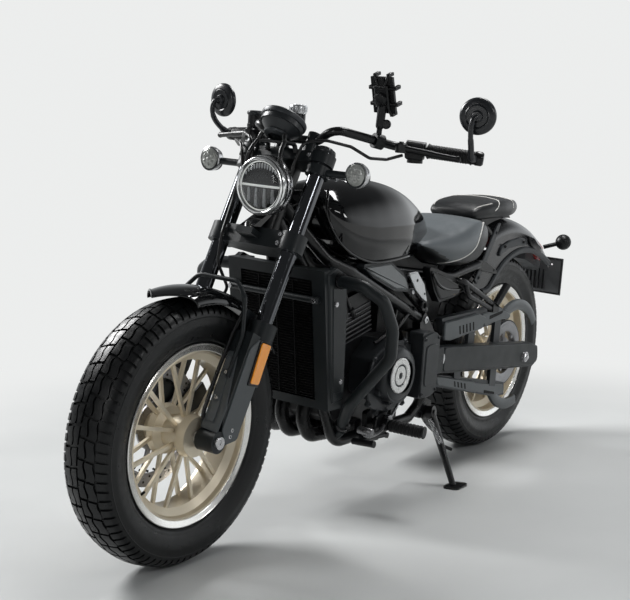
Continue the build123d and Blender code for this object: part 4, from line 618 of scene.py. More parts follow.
def seat_ring(rows, x, crown=5.0):
    w, zt, zb = values(rows, x)
    h = zt - zb
    half = [(0.70 * w, zb), (0.90 * w, zb + 0.10 * h), (0.985 * w, zb + 0.32 * h), (w, zb + 0.52 * h),
            (0.965 * w, zb + 0.74 * h), (0.86 * w, zb + 0.93 * h), (0.70 * w, zt),
            (0.35 * w, zt + crown * 0.8), (0, zt + crown)]
    return mirrored(x, [(0, zb)] + half_curve(half, 4))


def left_flank(ring):
    return ring[1 : len(ring) // 2 + 1]


def on_seat(rows, x, z, side):
    """The point of the seat's flank at a height."""
    half = left_flank(seat_ring(rows, x))
    for p, q in zip(half, half[1:]):
        if p.z <= z <= q.z:
            t = (z - p.z) / max(1e-6, q.z - p.z)
            return Vector((x, side * (p.y + (q.y - p.y) * t), z))
    return Vector((x, side * half[0].y, half[0].z))


def rider_seat():
    rings = [seat_ring(RIDER, x) for x in steps(-541, -515, 6)[:-1] + steps(-515, -128, 40)]
    saddle = Shape().loft(rings)
    saddle = saddle.make("rider_saddle", "chassis", "seat_hide", "seat_hide", 60, ["rider_seat"])
    saddle.data.materials.append(LOOKS["black_hide"])
    for face in saddle.data.polygons:  # the flanks below the seam are black
        p = PLACE.inverted() @ face.center
        if p.x > SEAT_SEAM[0][0]:
            black = face.normal.z < -0.55
        else:
            black = abs(p.y) > 0.5 * values(RIDER, p.x)[0] and p.z < values(SEAT_SEAM, p.x)[0] or p.x < -536
        face.material_index = int(black)
    thread = Shape()
    for q in SIDES:
        thread.tube([on_seat(RIDER, x, values(SEAT_SEAM, x)[0], q) for x in steps(-252, -534, 60)], 2.0, 6)
    thread.make("saddle_thread", "chassis", "seat_hide", "pale_thread")


def pillion_seat():
    xs = steps(-818, -790, 6)[:-1] + steps(-790, -530, 30)[:-1] + steps(-530, -498, 8)
    pad = Shape().loft([seat_ring(PILLION, x, PILLION_CROWN) for x in xs])
    pad = pad.make("pillion_pad", "chassis", "pillion_hide", "black_hide", 60, ["pillion_seat"])
    pipe = Shape()
    for middle, bow in ((-668, 70), (-752, 16)):
        line = []
        for share in steps(-1, 1, 60):
            x = middle + bow * share * share
            half = left_flank(seat_ring(PILLION, x, PILLION_CROWN))
            spot = (len(half) - 1) - 20 * abs(share)
            i = min(int(spot), len(half) - 2)
            p = half[i].lerp(half[i + 1], spot - i)
            line.append(Vector((x, p.y * (1 if share > 0 else -1), p.z)))
        pipe.tube(line, 1.7, 6)
    for q in SIDES:
        line = []
        for x in steps(-512, -600, 22):
            w, zt, zb = values(PILLION, x)
            line.append(on_seat(PILLION, x, zb + 0.93 * (zt - zb), q))
        pipe.tube(line, 1.5, 6)
    pipe.make("pillion_piping", "chassis", "pillion_hide", "pale_thread")
    welt = Shape()
    for x in (-560, -700):
        w, zt, zb = values(PILLION, x)
        welt.tube([Vector((x, y * w, zb + 1)) for y in steps(-0.8, 0.8, 8)], 2.5, 6)
    welt.make("pillion_welt", "chassis", "pillion_hide", "black_hide")


# ------------------------------------------------------------ tyres
TREAD_DEPTH = 5.0
TREAD_STEP = 2.6
GROOVE = 2.0
PITCHES = 42


def tyre_surface(profile, centre):
    """A function for the point at an angle, s mm from the crown line (signed), lifted off the tyre."""
    pts = profile[::-1]
    total = [0.0]
    for a, b in zip(pts, pts[1:]):
        total.append(total[-1] + (b - a).length)

    def point(deg, s, lift):
        d = min(abs(s), total[-1] - 0.01)
        i = next(i for i in range(len(total) - 1) if total[i] <= d <= total[i + 1])
        p = pts[i].lerp(pts[i + 1], (d - total[i]) / max(1e-6, total[i + 1] - total[i]))
        tangent = (pts[i + 1] - pts[i]).normalized()
        out = Vector((-tangent.y, tangent.x)) * (1 if tangent.x > 0 else -1)
        y, r = p + out * lift
        return around(centre, r, deg, y if s >= 0 else -y)

    return point, total[-1]


def zigzag(a, base):
    """A stepped zigzag line round the tyre."""
    f = a % 1.0
    return base + TREAD_STEP * (1 if f < 0.5 else -1) * min(1.0, 6 * min(f % 0.5, 0.5 - f % 0.5))


def tread_blocks(half, width):
    """For one pitch, rows of (pitch place, s) pairs for each block."""
    mid, edge = half * 0.30, half * 0.66
    for q in SIDES:
        shift = 0.5 if q > 0 else 0.0
        for a0, a1, s0, s1, lean in ((0.03, 0.885, 0.035 * half, mid - 2.5, 0.20),
                                     (0.10, 0.97, mid + 2.5, edge - GROOVE, 0.30)):
            rows = []
            for t in steps(0, 1, 4):
                row = []
                for a in steps(a0, a1, 6):
                    z0 = zigzag(a + shift, s0) if s0 > 4 else s0
                    s = z0 + (zigzag(a + shift, s1) - z0) * t
                    row.append((a + shift + lean * (s - s0) / half, q * s))
                rows.append(row)
            yield rows
        for half_pitch in (0.0, 0.5):
            rows = []
            for t in steps(0, 1, 5):
                s = edge + GROOVE + (half * 1.24 - edge - GROOVE) * t
                rows.append([(a + half_pitch + 0.1 * t + shift, q * min(s, width * 0.52))
                             for a in steps(0.06, 0.42, 3)])
            yield rows


def slab(shape, top, low):
    """The top and the sides of a block, from two grids of points."""
    m, n = len(top), len(top[0])
    faces = []
    for i in range(m - 1):
        for j in range(n - 1):
            faces.append([i * n + j, i * n + j + 1, (i + 1) * n + j + 1, (i + 1) * n + j])
    rim = [(0, j) for j in range(n)] + [(i, n - 1) for i in range(1, m)]
    rim += [(m - 1, j) for j in range(n - 2, -1, -1)] + [(i, 0) for i in range(m - 2, 0, -1)]
    for (i0, j0), (i1, j1) in zip(rim, rim[1:] + rim[:1]):
        a, b = i0 * n + j0, i1 * n + j1
        faces.append([a, b, b + m * n, a + m * n])
    shape.add([p for row in top + low for p in row], faces)


def tyre(name, centre, half, outer, rim_half, body, node):
    """A tyre with its tread: half width, outer radius and half width at the rim."""
    profile = half_curve([
        (rim_half - 5, 218), (rim_half + 2, 224), (half * 0.90, 240), (half * 0.995, 262), (half, 276),
        (half * 0.985, outer - 34), (half * 0.93, outer - 22), (half * 0.72, outer - 11),
        (half * 0.42, outer - 4), (half * 0.16, outer - 0.8), (0, outer)], 6)
    line = []
    for y, r in profile:
        drop = TREAD_DEPTH * min(1.0, max(0.0, (r - (outer - 30)) / 8.0))
        rib = 0.9 if 226 < r < 232 or 283 < r < 286 else 0.0
        line.append((r - drop, y + rib - drop * 0.35))
    inner = [(206, rim_half - 12), (outer - 24, half - 22), (outer - 14, 0)]
    whole = line + [(r, -y) for r, y in line[-2::-1] + inner[:2]] + inner[::-1]
    core = Shape().lathe(whole, centre, Y, 144, True)
    core.make(name, body, "tyre_rubber", "tyre_rubber", 50, [node])
    point, width = tyre_surface(profile, centre)
    step = 360 / PITCHES
    tread = Shape()
    for k in range(PITCHES):
        for rows in tread_blocks(half, width):
            top, low = ([[point((k + a) * step, s, lift) for a, s in row] for row in rows]
                        for lift in (0, -TREAD_DEPTH - 0.6))
            slab(tread, top, low)
    tread.make(name + "_tread", body, "tyre_rubber", "tyre_rubber", 40)


# ------------------------------------------------------------ lamps
LAMP = fork(22, 0, 630)
DISH_R = 56


def headlight():
    x, z = LAMP.x, LAMP.z
    front = (x - 2, 0, z)
    back = (x - 4, 0, z)
    profile = [(60.6, -12), (60.6, -1), (62, 3), (65.5, 5.4), (70, 4.4), (73.6, 0), (74.2, -4), (74.2, -11),
               (71, -13)]
    Shape().lathe(profile, back, X, 72, True).make("lamp_ring", "steering", "lamp_shell", "ring_chrome", 45)
    trim = Shape().lathe([(73.8, -34), (75.2, -30), (75.2, -20), (73.8, -16)], back, X, 72, True)
    for b, a in spin(3, 1, 90):
        trim.bolt((x - 30, 75 * a, z + 75 * b), (0, a, b), 4, 3)
    trim.make("lamp_trim", "steering", "lamp_shell", "plated_steel")
    # The posts glow through their look: painted light.
    posts = Shape()
    for y in (-34, -12, 12, 34):
        low = z - math.sqrt(DISH_R**2 - y * y) + 5
        posts.plate([(y - 3.6, z - 6), (y + 3.6, z - 6), (y + 5.2, low), (y - 5.2, low)],
                    lambda a, b, h: Vector((x - 24 + h, a, b)), 0, 13, 2)
    posts.make("lamp_posts", "steering", "lamp_shell", "lamp_post", 35)
    # The dish glows through its look: painted light.
    dish = Shape().lathe([(61.5, -8), (58, -14), (46, -22), (30, -26), (0, -27)], front, X, 64)
    for y in (k * 7.6 for k in range(-6, 7)):
        top = math.sqrt(DISH_R**2 - y * y)
        dish.tube([(x - 23 + 12 * t**2, y, z + 5 + (top - 9) * t) for t in steps(0, 1, 5)], 2.4, 6)
    dish.make("lamp_dish", "steering", "lamp_shell", "reflector", 35)
    led = Shape().box((x - 20, -55, z - 3), (x - 7, 55, z + 2.5), 1.5)
    led.lathe([(60.5, -12), (60.5, -5), (57, -4), (56, -12)], front, X, 64, True)
    led.make("lamp_leds", "steering", "lamp_shell", "led_white", 35)
    profile = [(62, -6), (61, -1), (50, 3.2), (30, 6.6), (0, 8.4), (0, 6.4), (29, 4.6), (50, 1.2), (59, -6)]
    glass = Shape().lathe(profile, front, X, 64)
    glass.make("lamp_glass", "steering", "lamp_glass", "clear_lens", 60, ["headlight_lens"])


def front_signals():
    for q in SIDES:
        c = fork(-42, q * 227, 709) + Vector((6, 0, 3.5))
        shell = Shape().lathe([(10, -31), (17, -27), (26, -17), (30.6, -6), (31.6, 2), (31.6, 6), (29.5, 8),
                               (28.6, 6.5), (28.4, 3)], c, X)
        shell.make("signal_shell" + TAGS[q], "steering", "signal_clear", "plated_steel")
        lens = Shape().lathe([(28.5, 4), (27.6, 8), (22, 12), (12, 14), (0, 14.6)], c, X)
        lens.lathe([(22.5, 11.6), (23.4, 12.6), (24.6, 11.4), (24.2, 10)], c, X, closed=True)
        for lift, (b, a) in zip([11.6] * 6 + [13.2], spin(6, 13.5) + [(0, 0)]):
            lens.lathe([(5.6, 0), (5.0, 2.4), (3, 4.2), (0, 4.8)], c + Vector((lift, a, b)), X, 16)
        lens.make("signal_lens" + TAGS[q], "steering", "signal_clear", "signal_glass", 35)


tank()
front_fender()
rear_fender()
rider_seat()
pillion_seat()
tyre("front_tread_tyre", FRONT_AXLE, 67.0, 320.0, 50.0, "front_wheel_set", "front_tyre")
tyre("rear_tread_tyre", REAR_AXLE, 76.0, 323.0, 63.0, "rear_wheel_set", "rear_tyre")
headlight()
front_signals()


# ------------------------------------------------------------ fork trim
def fork_trim(q):
    def face(a, b, h):
        return fork(16 + h, q * a, b)

    def side(a, b, h):
        return fork(a, q * (131 + h), b)

    cover = Shape()
    cover.plate(rounded([(80, 24), (131, 18), (132, 78), (110, 214), (82, 214)], 6, 3), face, -1, 3.5, 1.2)
    cover.plate(rounded([(86, 44), (112, 40), (112, 78), (100, 200), (87, 200)], 5, 3), face, 3, 6)
    outline = [(-60, 24), (-24, 2), (6, 30), (10, 230), (-14, 262), (-60, 262)]
    cover.plate(rounded(outline, 7, 3), side, -1, 2.6, 1.2)
    bolts = Shape()
    for y, u in ((99, 161), (97, 98)):
        cover.lathe([(9, 0), (9, 1.6), (6.6, 2.4), (6.6, 0.4), (0, 0.4)], fork(21.6, q * y, u), AHEAD, 24)
        bolts.bolt(fork(22, q * y, u), AHEAD, 5, 3)
    cover.make("fork_cover" + TAGS[q], "steering", "charcoal_satin", "fork_grey")
    bolts.lathe([(12, -3), (12, 3.5), (10, 5), (7, 5), (6.4, 0.5), (0, 0.5)], fork(6, q * 133, 0), Y * q, 32)
    bolts.make("fork_bolts" + TAGS[q], "steering", "axle_steel", "plated_steel")
    stay = Shape().plate(rounded([(-24, 150), (-66, 158), (-62, 270), (-16, 262)], 6, 4), side, 2, 5.5)
    stay.tube(bent([fork(22, q * 90, 322), fork(24, q * 80, 270), fork(24, q * 76, 150), fork(22, q * 76, 50),
                    fork(6, q * 82, 16)], 30), 5)
    stay.make("fork_stay" + TAGS[q], "steering", "frame_black", "frame_black")
    # The reflector's faint glow is painted light.
    amber = Shape().plate(rounded([(-29, 157), (-61, 163), (-57, 263), (-21, 257)], 6, 5), side, 5, 9, 1.6)
    amber.make("fork_reflector" + TAGS[q], "steering", "tail_red", "amber_reflector", 30)
    top = basis(fork(-42, q * 107, 768), UP_FORK)
    cap = Shape().lathe([(27.4, -11), (28.4, -8), (28.4, -5), (27, -4), (27, -1), (24, 1.5), (21, 1.5),
                         (20, 4.5), (14, 5.5), (13, 4), (0, 4)], top.translation, UP_FORK)
    for collar in ([(21.5, -262), (24.6, -260), (24.6, -252), (21.5, -249)],
                   [(21.5, -487), (25.5, -486), (28, -480), (28, -472), (21.5, -469)]):
        cap.lathe(collar, top.translation, UP_FORK, closed=True)
    for a, b in spin(6, 17.5):
        cap.bolt(top @ Vector((a, b, 3)), UP_FORK, 2.4, 2)
    cap.make("fork_cap" + TAGS[q], "steering", "fork_black", "cover_grey")
    pinch = Shape()
    for u in (504, 526, 740):
        pinch.bolt(fork(-15, q * 85, u), AHEAD, 6, 5)
    for u in (24, 40):
        pinch.bolt(fork(-30, q * 131, u), Y * q, 5.5, 4)
    pinch.make("clamp_bolts" + TAGS[q], "steering", "charcoal_satin", "plated_steel")


# ------------------------------------------------------------ cockpit
POD = Vector((408, 0, 1036))
POD_TILT = math.radians(-34)
POD_UP = Vector((math.sin(POD_TILT), 0, math.cos(POD_TILT)))
CUP = Vector((200, -243, 1020))
POT = Vector((341, 0, 1026))
PHONE = Vector((243, 188, 1130))
PHONE_TILT = math.radians(-72)
MIRRORS = {  # side: middle of the head, its turn inwards, the stalk's first step and its later points
    1: ((134, 397, 1094), 0.30, (30, 0, 2), [(151, 395, 1016), (158, 394, 1052), (156, 395, 1082)]),
    -1: ((154, -396, 1082), 0.12, (32, -4, 8), [(168, -408, 1024), (180, -412, 1052), (176, -408, 1078)]),
}


def gauge():
    profile = [(54, 9), (58, 10), (59.5, 14), (59.5, 21), (57, 24), (52, 24), (51, 20)]
    bezel = Shape().lathe(profile, POD, POD_UP, 64, True)
    bezel.lathe([(22, -34), (34, -30), (36, -26), (30, -22)], POD, POD_UP, closed=True)
    bezel.make("gauge_bezel", "steering", "lamp_shell", "satin_grey")
    dial = Shape().lathe([(51.5, 18), (51.5, 21), (48, 21.6), (0, 22.4)], POD, POD_UP)
    dial.make("gauge_dial", "steering", "lamp_shell", "dial_face")
    arms = Shape()
    for q in SIDES:
        bend = (446, q * 40, 1000)
        root = POD + POD_UP * -20 + Vector((20, q * 34, 0))
        arms.tube(bent([root, bend, fork(-2, q * 40, 760), fork(-14, q * 44, 742)], 16), 6)
        arms.tube(bent([bend, (470, q * 46, 975), (470, q * 60, 925), (458, q * 66, 900)], 20), 5.5)
    arms.box((420, -36, 996), (452, 36, 1003), 2)
    arms.make("gauge_bracket", "steering", "frame_black", "frame_black")


def pots():
    """The brake fluid's cup and the clamp pot, each with its lid."""
    for name, look, place, profile in (
        ("fluid_cup", "engine_black", CUP,
         [(15.5, -22), (17, -20), (20.5, -4), (21.5, 0), (21.5, 6), (20, 7), (20, 30), (21.6, 31), (21.6, 39),
          (19, 41), (0, 41)]),
        ("fluid_lid", "cover_grey", CUP, [(21.8, 31), (23, 33), (23, 37), (21, 41.5), (12, 42.6), (0, 42.6)]),
        ("clamp_pot", "engine_black", POT,
         [(0, -2), (13, -1.5), (13, 3), (8.5, 5), (8.5, 16), (17, 18), (19.5, 21), (19.5, 44), (18, 46),
          (0, 46)]),
    ):
        Shape().lathe(profile, place, Z, 40).make(name, "steering", "control_black", look)
    profile = [(19.2, 42), (21.8, 44), (22, 47), (22, 61), (20.5, 64), (16, 65.5), (15, 64.5), (0, 64.5)]
    lid = Shape().lathe(profile, POT, Z)
    for a, b in spin(16, 22):
        lid.tube([POT + Vector((a, b, 48)), POT + Vector((a, b, 60))], 1.3, 6)
    lid.make("clamp_pot_lid", "steering", "control_black", "brushed_plate")


def bar(q, share):
    """A point of the handlebar's straight end, from its bend to its tip."""
    return Vector((192 - 84 * share, q * (205 + 187 * share), 1003 - 14 * share))


def controls(q):
    along = (bar(q, 1) - bar(q, 0)).normalized()
    rib = ((16.8, 0), (17.8, 1.2), (17.8, 4.0), (16.8, 5.2))
    profile = [(16, 0), (19.5, 0.5), (19.5, 4)] + [(r, z + d) for z in steps(4, 96.4, 14) for r, d in rib]
    grip = Shape().lathe(profile + [(16.8, 108), (19, 110), (19, 113), (16, 114)], bar(q, 0.39), along, 40)
    grip.make("grip_ribs" + TAGS[q], "steering", "rubber_black", "grip_rubber")
    end = Shape().lathe([(0, -2), (17, -2), (18, 0), (18, 14), (16, 17), (0, 18)], bar(q, 0.985), along, 40)
    end.make("bar_end" + TAGS[q], "steering", "control_black", "frame_black")
    m = axes(bar(q, 0.24), Vector((along.y, -along.x, 0)) * q, along, Z)
    block = Shape().box((-17, -24, -26), (23, 22, 18), 4, m)
    block.box((-23, -16, -20), (-16, 10, -4), 2, m)
    block.box((-24, -8, 2), (-16, 16, 12), 2, m)
    block.lathe([(5, 0), (5, 5), (3.5, 6.5), (0, 6.5)], m @ Vector((-20, -18, 8)), m.to_3x3() @ -X, 20)
    block.make("switch_block" + TAGS[q], "steering", "trim_black", "black_plastic")
    clamp = bar(q, 0.16)
    knuckle = clamp + Vector((46, 4 * q, 2))
    perch = Shape().lathe([(14.5, -12), (15, -10), (15, 10), (13, 12), (0, 12)], knuckle, Z, 32)
    perch.nut(knuckle + Z * 12, Z, 7, 4)
    perch.lathe([(14, -11), (15.5, -9), (15.5, 9), (14, 11)], clamp, along, 32)
    perch.make("lever_perch" + TAGS[q], "steering", "control_black", "frame_black")
    tip = bar(q, 0.92) + Vector((66, 0, -4))
    reach = tip - knuckle
    line = curve([knuckle, knuckle + reach * 0.12, knuckle + reach * 0.55 + X * 1.5, tip])
    blade = Shape().tube(line, [9] * 9 + [8.2] * 8 + [7.0] * 7 + [8.2], 14)
    blade.make("lever_blade" + TAGS[q], "steering", "control_black", "engine_black")


def mirror(q, bodies):
    head, turn, first, later = MIRRORS[q]
    axis = Vector((-1, -q * turn, 0.04)).normalized()
    root = bar(q, 1)
    bodies.lathe([(0, -17), (11, -16.5), (14, -13.5), (15, -10), (26, -9.6), (29, -12), (31, -9.4),
                  (40, -7.5), (45, -3.5), (46.4, 0), (46.4, 5), (44.2, 6.6), (43, 5.4)], head, axis, 64)
    stalk = curve([root, root + Vector(first), *later, Vector(head) - axis * 12], 6)
    bodies.tube(stalk, [9.5] * 8 + [7.6] * 8 + [6.6] * 15, 14)
    clamp = [(11.5, -13), (15.6, -12), (16.4, -8), (16.4, 13), (14, 16), (0, 17)]
    bodies.lathe(clamp, root, (root - bar(q, 0)).normalized(), 40)
    glass = Shape().lathe([(43.4, 4.6), (43.0, 5.8), (0, 6.2)], head, axis, 56)
    glass.make("mirror_glass" + TAGS[q], "steering", "control_black", "mirror_glass")


def phone_holder():
    up = Vector((math.cos(PHONE_TILT), 0, -math.sin(PHONE_TILT)))
    out = Vector((math.sin(PHONE_TILT), 0, math.cos(PHONE_TILT)))
    m = axes(PHONE, up, Y, out)
    claws = Shape().box((-30, -20, -14), (26, 20, -5), 3, m)
    claws.box((-44, -8, -9), (44, 8, -4), 2, m)
    ends = [[(u * 0.5, w * 0.5, -6), (u, w, -3), (u * 1.04, w, 10), (u * 0.98, w, 19)]
            for u in (50, -50) for w in (19, -19)]
    sides = [[(u, w * 0.3, -6), (u, w * 1.02, -3), (u, w * 1.06, 12), (u, w * 0.98, 19)]
             for u in (18, -22) for w in (36, -36)]
    for route in ends + sides:
        claws.tube([m @ Vector(p) for p in route], 4.2, 10)
    claws.lathe([(0, -4), (17, -4), (17, 8), (14, 10), (0, 10)], m @ Vector((-8, 0, -14)), -out, 24)
    claws.lathe([(0, 0), (12, 0), (12, 6), (9, 9), (0, 9)], (236, 198, 1058), (1, 0.3, 0), 20)
    claws.make("phone_claws", "steering", "trim_black", "black_plastic")


# ------------------------------------------------------------ engine dressing
ALTERNATOR = (82, 205, 392)
CLUTCH = Vector((30, -158, 380))
CYLINDERS = Matrix.Translation((110, 0, 456)) @ Matrix.Rotation(math.radians(12), 4, "Y")


def engine_left():
    profile = [(45, -2), (48, 0), (48, 2.5), (46, 4), (33, 4), (31, 2.2), (31, -1)]
    ring = Shape().lathe(profile, ALTERNATOR, Y, 72, True)
    ring.lathe([(26, -2), (26, 2), (24.5, 3), (9, 3), (8, 1), (8, -2)], ALTERNATOR, Y, closed=True)
    ring.make("cover_ring", "chassis", "engine_black", "ring_alloy", 30)
    seat = Shape().lathe([(31.5, -2), (31, 1.4), (26, 1.4), (25.5, -2)], ALTERNATOR, Y, closed=True)
    seat.lathe([(8, -1), (7.5, 4), (4, 5), (0, 5)], ALTERNATOR, Y, 24)
    dome = [(74, -38), (77, -34), (77, -8), (72, 0), (62, 5), (52, 8), (49, 14), (46, 14)]
    seat.lathe(dome, (56, 189, 386), Y, 72)
    for a, b in spin(7, 77, 20, 51.4):
        seat.lathe([(9, -16), (9, 3), (7, 4.5), (0, 4.5)], (54 + a, 168, 384 + b), Y, 20)
        seat.bolt((54 + a, 172, 384 + b), Y, 5.2, 4)
    seat.make("alternator_case", "chassis", "engine_black", "cover_grey")
    outline = [(150, 300), (164, 372), (140, 440), (70, 468), (-20, 470), (-60, 430), (-70, 330), (-30, 286),
               (60, 276)]
    case = Shape().plate(rounded(outline, 26, 5), flank(150), -3, 7, 3)
    for x, z in ((150, 314), (158, 372), (132, 432), (66, 462), (-18, 462), (-58, 418), (-64, 334),
                 (-24, 290), (60, 282), (110, 284)):
        case.lathe([(9, -2), (9, 7), (7.5, 9), (0, 9)], (x, 150, z), Y, 18)
        case.bolt((x, 158, z), Y, 5, 4)
    case.make("case_cover_left", "chassis", "engine_black", "cover_grey")
    outline = [(-62, 302), (-58, 476), (-120, 486), (-150, 470), (-150, 312), (-122, 298)]
    pulley = Shape().plate(rounded(outline, 14, 4), flank(186), -2, 5, 2.5)
    pulley.plate(rounded([(-74, 330), (-74, 450), (-136, 452), (-136, 330)], 18, 4), flank(190), 0, 4, 2)
    for x, z in ((-68, 312), (-68, 468), (-142, 466), (-142, 316)):
        pulley.bolt((x, 190, z), Y, 5, 4)
    pulley.make("pulley_case", "chassis", "engine_black", "cover_grey")


def engine_rest():
    profile = [(84, -4), (87, 2), (86, 10), (70, 16), (40, 18), (36, 22), (0, 22)]
    clutch = Shape().lathe(profile, CLUTCH, -Y, 64)
    for a, b in spin(8, 78, 10):
        clutch.bolt(CLUTCH + Vector((a, -8, b)), -Y, 5, 5)
    clutch.lathe([(44, -4), (46, 1), (40, 8), (0, 10)], (146, -158, 330), -Y)
    clutch.make("clutch_case", "chassis", "engine_black", "cover_grey")
    fins = Shape()
    for q in SIDES:
        for z in range(26, 117, 13):
            fins.box((-66, q * 83 - 3, z), (66, q * 83 + 3, z + 4), 1, CYLINDERS)
    fins.make("barrel_fins", "chassis", "engine_black", "barrel_fin")
    bolts = Shape()
    for x in (-48, 0, 48):
        for y in (-62, 62):
            bolts.bolt(CYLINDERS @ Vector((x, y, 176)), CYLINDERS.to_3x3() @ Z, 6, 6)
    bolts.make("head_bolts", "chassis", "axle_steel", "dark_steel")
    outline = [(-336, 604), (-338, 640), (-300, 648), (-232, 660), (-176, 688), (-60, 690), (40, 690),
               (52, 668), (-60, 640), (-150, 604)]
    tray = Shape().plate(rounded(outline, 10, 3), flank(-62), 0, 124, 6)
    for q in SIDES:
        flap = [(-292, 622), (-292, 486), (-312, 470), (-348, 474), (-362, 496), (-363, 600), (-338, 630)]
        tray.plate(rounded(flap, 8, 3), flank(56, q), 0, 5, 1.2)
    tray.make("battery_tray", "chassis", "trim_black", "black_plastic")
    hose = Shape().tube(bent([(318, 118, 604), (286, 124, 596), (240, 112, 560), (214, 88, 540)], 26), 15, 20)
    hose.tube(bent([(316, -112, 390), (282, -120, 372), (220, -118, 360), (176, -112, 350)], 26), 15, 20)
    hose.make("coolant_hoses", "chassis", "cable_black", "grip_rubber")
    bands = Shape()
    for p, way in (((305, 121, 600), (1, -0.3, 0.2)), ((226, 100, 549), (1, 0.8, 0.8)),
                   ((300, -116, 381), (1, 0.2, 0.5))):
        bands.lathe([(15, -4), (16.8, -4), (16.8, 4), (15, 4)], p, way, 28, True)
    bands.make("hose_bands", "chassis", "axle_steel", "plated_steel")
    leads = Shape()
    for q in SIDES:
        lead = [(150, q * 40, 640), (178, q * 66, 628), (186, q * 86, 590), (160, q * 84, 560)]
        leads.tube(bent(lead, 24), 4.5, 10)
        leads.lathe([(9, 0), (9, 26), (6, 30), (0, 30)], (160, q * 84, 562), (-0.5, 0, -0.8), 18)
    leads.tube(bent([(20, 120, 470), (-10, 132, 500), (-60, 128, 530), (-120, 110, 540)], 30), 6)
    leads.tube(bent([(100, 128, 470), (60, 138, 490), (10, 130, 520), (-30, 112, 560)], 30), 5)
    leads.make("plug_leads", "chassis", "cable_black", "cable_black")


# ------------------------------------------------------------ radiator
def core_x(z):
    """Where the sloping front of the radiator's core is at a height."""
    return 338 + 60 * (z - 326) / 366


def radiator_dressing():
    core = Shape()
    for z in range(356, 658, 7):
        core.box((core_x(z) - 6, -108, z), (core_x(z) + 1.0, 108, z + 1.3), 0.4)
    bar_section = ((-3, -1.5), (1.6, -1.5), (1.6, 1.5), (-3, 1.5))
    for y in (-54, 0, 54):
        core.loft([[Vector((core_x(z) + a, y + b, z)) for a, b in bar_section] for z in (354, 658)])
    core.make("core_louvres", "chassis", "radiator_core", "radiator_core")
    outer = [(384, 684), (350, 700), (312, 680), (296, 640), (286, 560), (276, 352), (326, 344), (352, 470),
             (376, 640)]
    inner = [(330, 372), (292, 372), (304, 600), (322, 640), (362, 650)]
    cheek = Shape()
    for q in SIDES:
        cheek.plate(rounded(outer, 5, 2), flank(150, q), -2, 7, 4)
        cheek.plate(rounded(inner, 6, 3), flank(156, q), 0, 3, 1.2)
        cheek.loft([[Vector((x, q * 157, z)) for x, z in ((382, 682), (350, 698), (312, 680), (330, 664))],
                    [Vector((x, q * 140, z)) for x, z in ((376, 684), (350, 700), (320, 688), (334, 670))]])
    cheek.make("shroud_cheeks", "chassis", "charcoal_satin", "charcoal_satin", 25)
    bolts = Shape()
    for q in SIDES:
        bolts.nut((347, q * 158, 606), Y * q, 7.5, 6)
        bolts.bolt((300, q * 158, 400), Y * q, 6, 4)
        bolts.nut((core_x(620) + 20, q * 132, 617), X, 7, 5)
    bolts.make("shroud_bolts", "chassis", "axle_steel", "plated_steel")
    mounts = Shape()
    for q in SIDES:
        for p, way in ((Vector((338, q * 166, 665)), (0.4, 0.8 * q, 0)),
                       (Vector((226, q * 124, 266)), (0.5, 0.8 * q, 0.6))):
            mounts.lathe([(16, -5), (19.5, -5), (20.5, 0), (19.5, 5), (16, 5)], p, way, 28, True)
            mounts.nut(p + Y * q * 18, Y * q, 8, 6)
    mounts.make("crash_bar_mounts", "chassis", "charcoal_satin", "frame_black")


# ------------------------------------------------------------ side trim
def side_trim():
    panel = Shape()
    ring = Shape()
    bright = Shape()
    dark = Shape()
    cover = Shape()
    struts = Shape()
    for q in SIDES:
        outline = [(196, 684), (64, 685), (-22, 637), (-42, 603), (28, 612), (138, 656)]
        panel.plate(rounded(outline, 8, 4), flank(135, q), -1, 4.5, 3.5)
        boss = [(13, -6), (15, -4), (15, 4), (12, 6), (9, 5), (8.5, 0), (0, 0)]
        ring.lathe(boss, (-120, q * 143, 552), Y * q, 32)
        outline = [(-26, 650), (-70, 649), (-110, 612), (-134, 562), (-120, 566), (-70, 600)]
        bright.plate(rounded(outline, 12, 4), flank(143, q), -1, 3, 1.5)
        washer = [(10, 0), (10, 5), (7, 6.5), (4.5, 6.5), (4, 3), (0, 3)]
        bright.lathe(washer, (-139, q * 143, 509), Y * q, 28)
        # Dark discs on the heel plates stand for their holes: painted shade.
        for x, z, r in ((-72, 628, 4.4), (-118, 586, 3.4)):
            dark.lathe([(r, 0), (r, 1), (0, 1)], (x, q * 145.7, z), Y * q, 20)
        outline = [(-140, 652), (-214, 630), (-312, 596), (-350, 574), (-288, 566), (-210, 560), (-180, 590)]
        side = flank(146, q)
        cover.plate(rounded(outline, 12, 4), side, -1, 5, 3)
        line = [side(-150, 640, 4), side(-186, 606, 7), side(-238, 588, 8), side(-330, 580, 5)]
        cover.tube(curve(line), 3.5, 10)
        outline = [(-656, 752), (-634, 752), (-598, 706), (-545, 630), (-508, 582), (-526, 566), (-562, 612),
                   (-618, 690)]
        struts.plate(rounded(outline, 6, 3), flank(89.5, q), 0, 6.5, 1.6)
        for x, z in ((-628, 722), (-532, 588)):
            struts.bolt((x, q * 95, z), Y * q, 5, 4)
    panel.make("tank_side_panels", "chassis", "trim_black", "panel_grey", 25)
    ring.make("pivot_boss", "chassis", "frame_black", "frame_black")
    bright.make("heel_plates", "chassis", "plate_alloy", "brushed_plate")
    dark.make("heel_plate_hole_shade", "chassis", "plate_alloy", "radiator_core")
    cover.make("side_cover_panels", "chassis", "trim_black", "gloss_black")
    struts.make("fender_struts", "chassis", "guard_grey", "satin_grey")


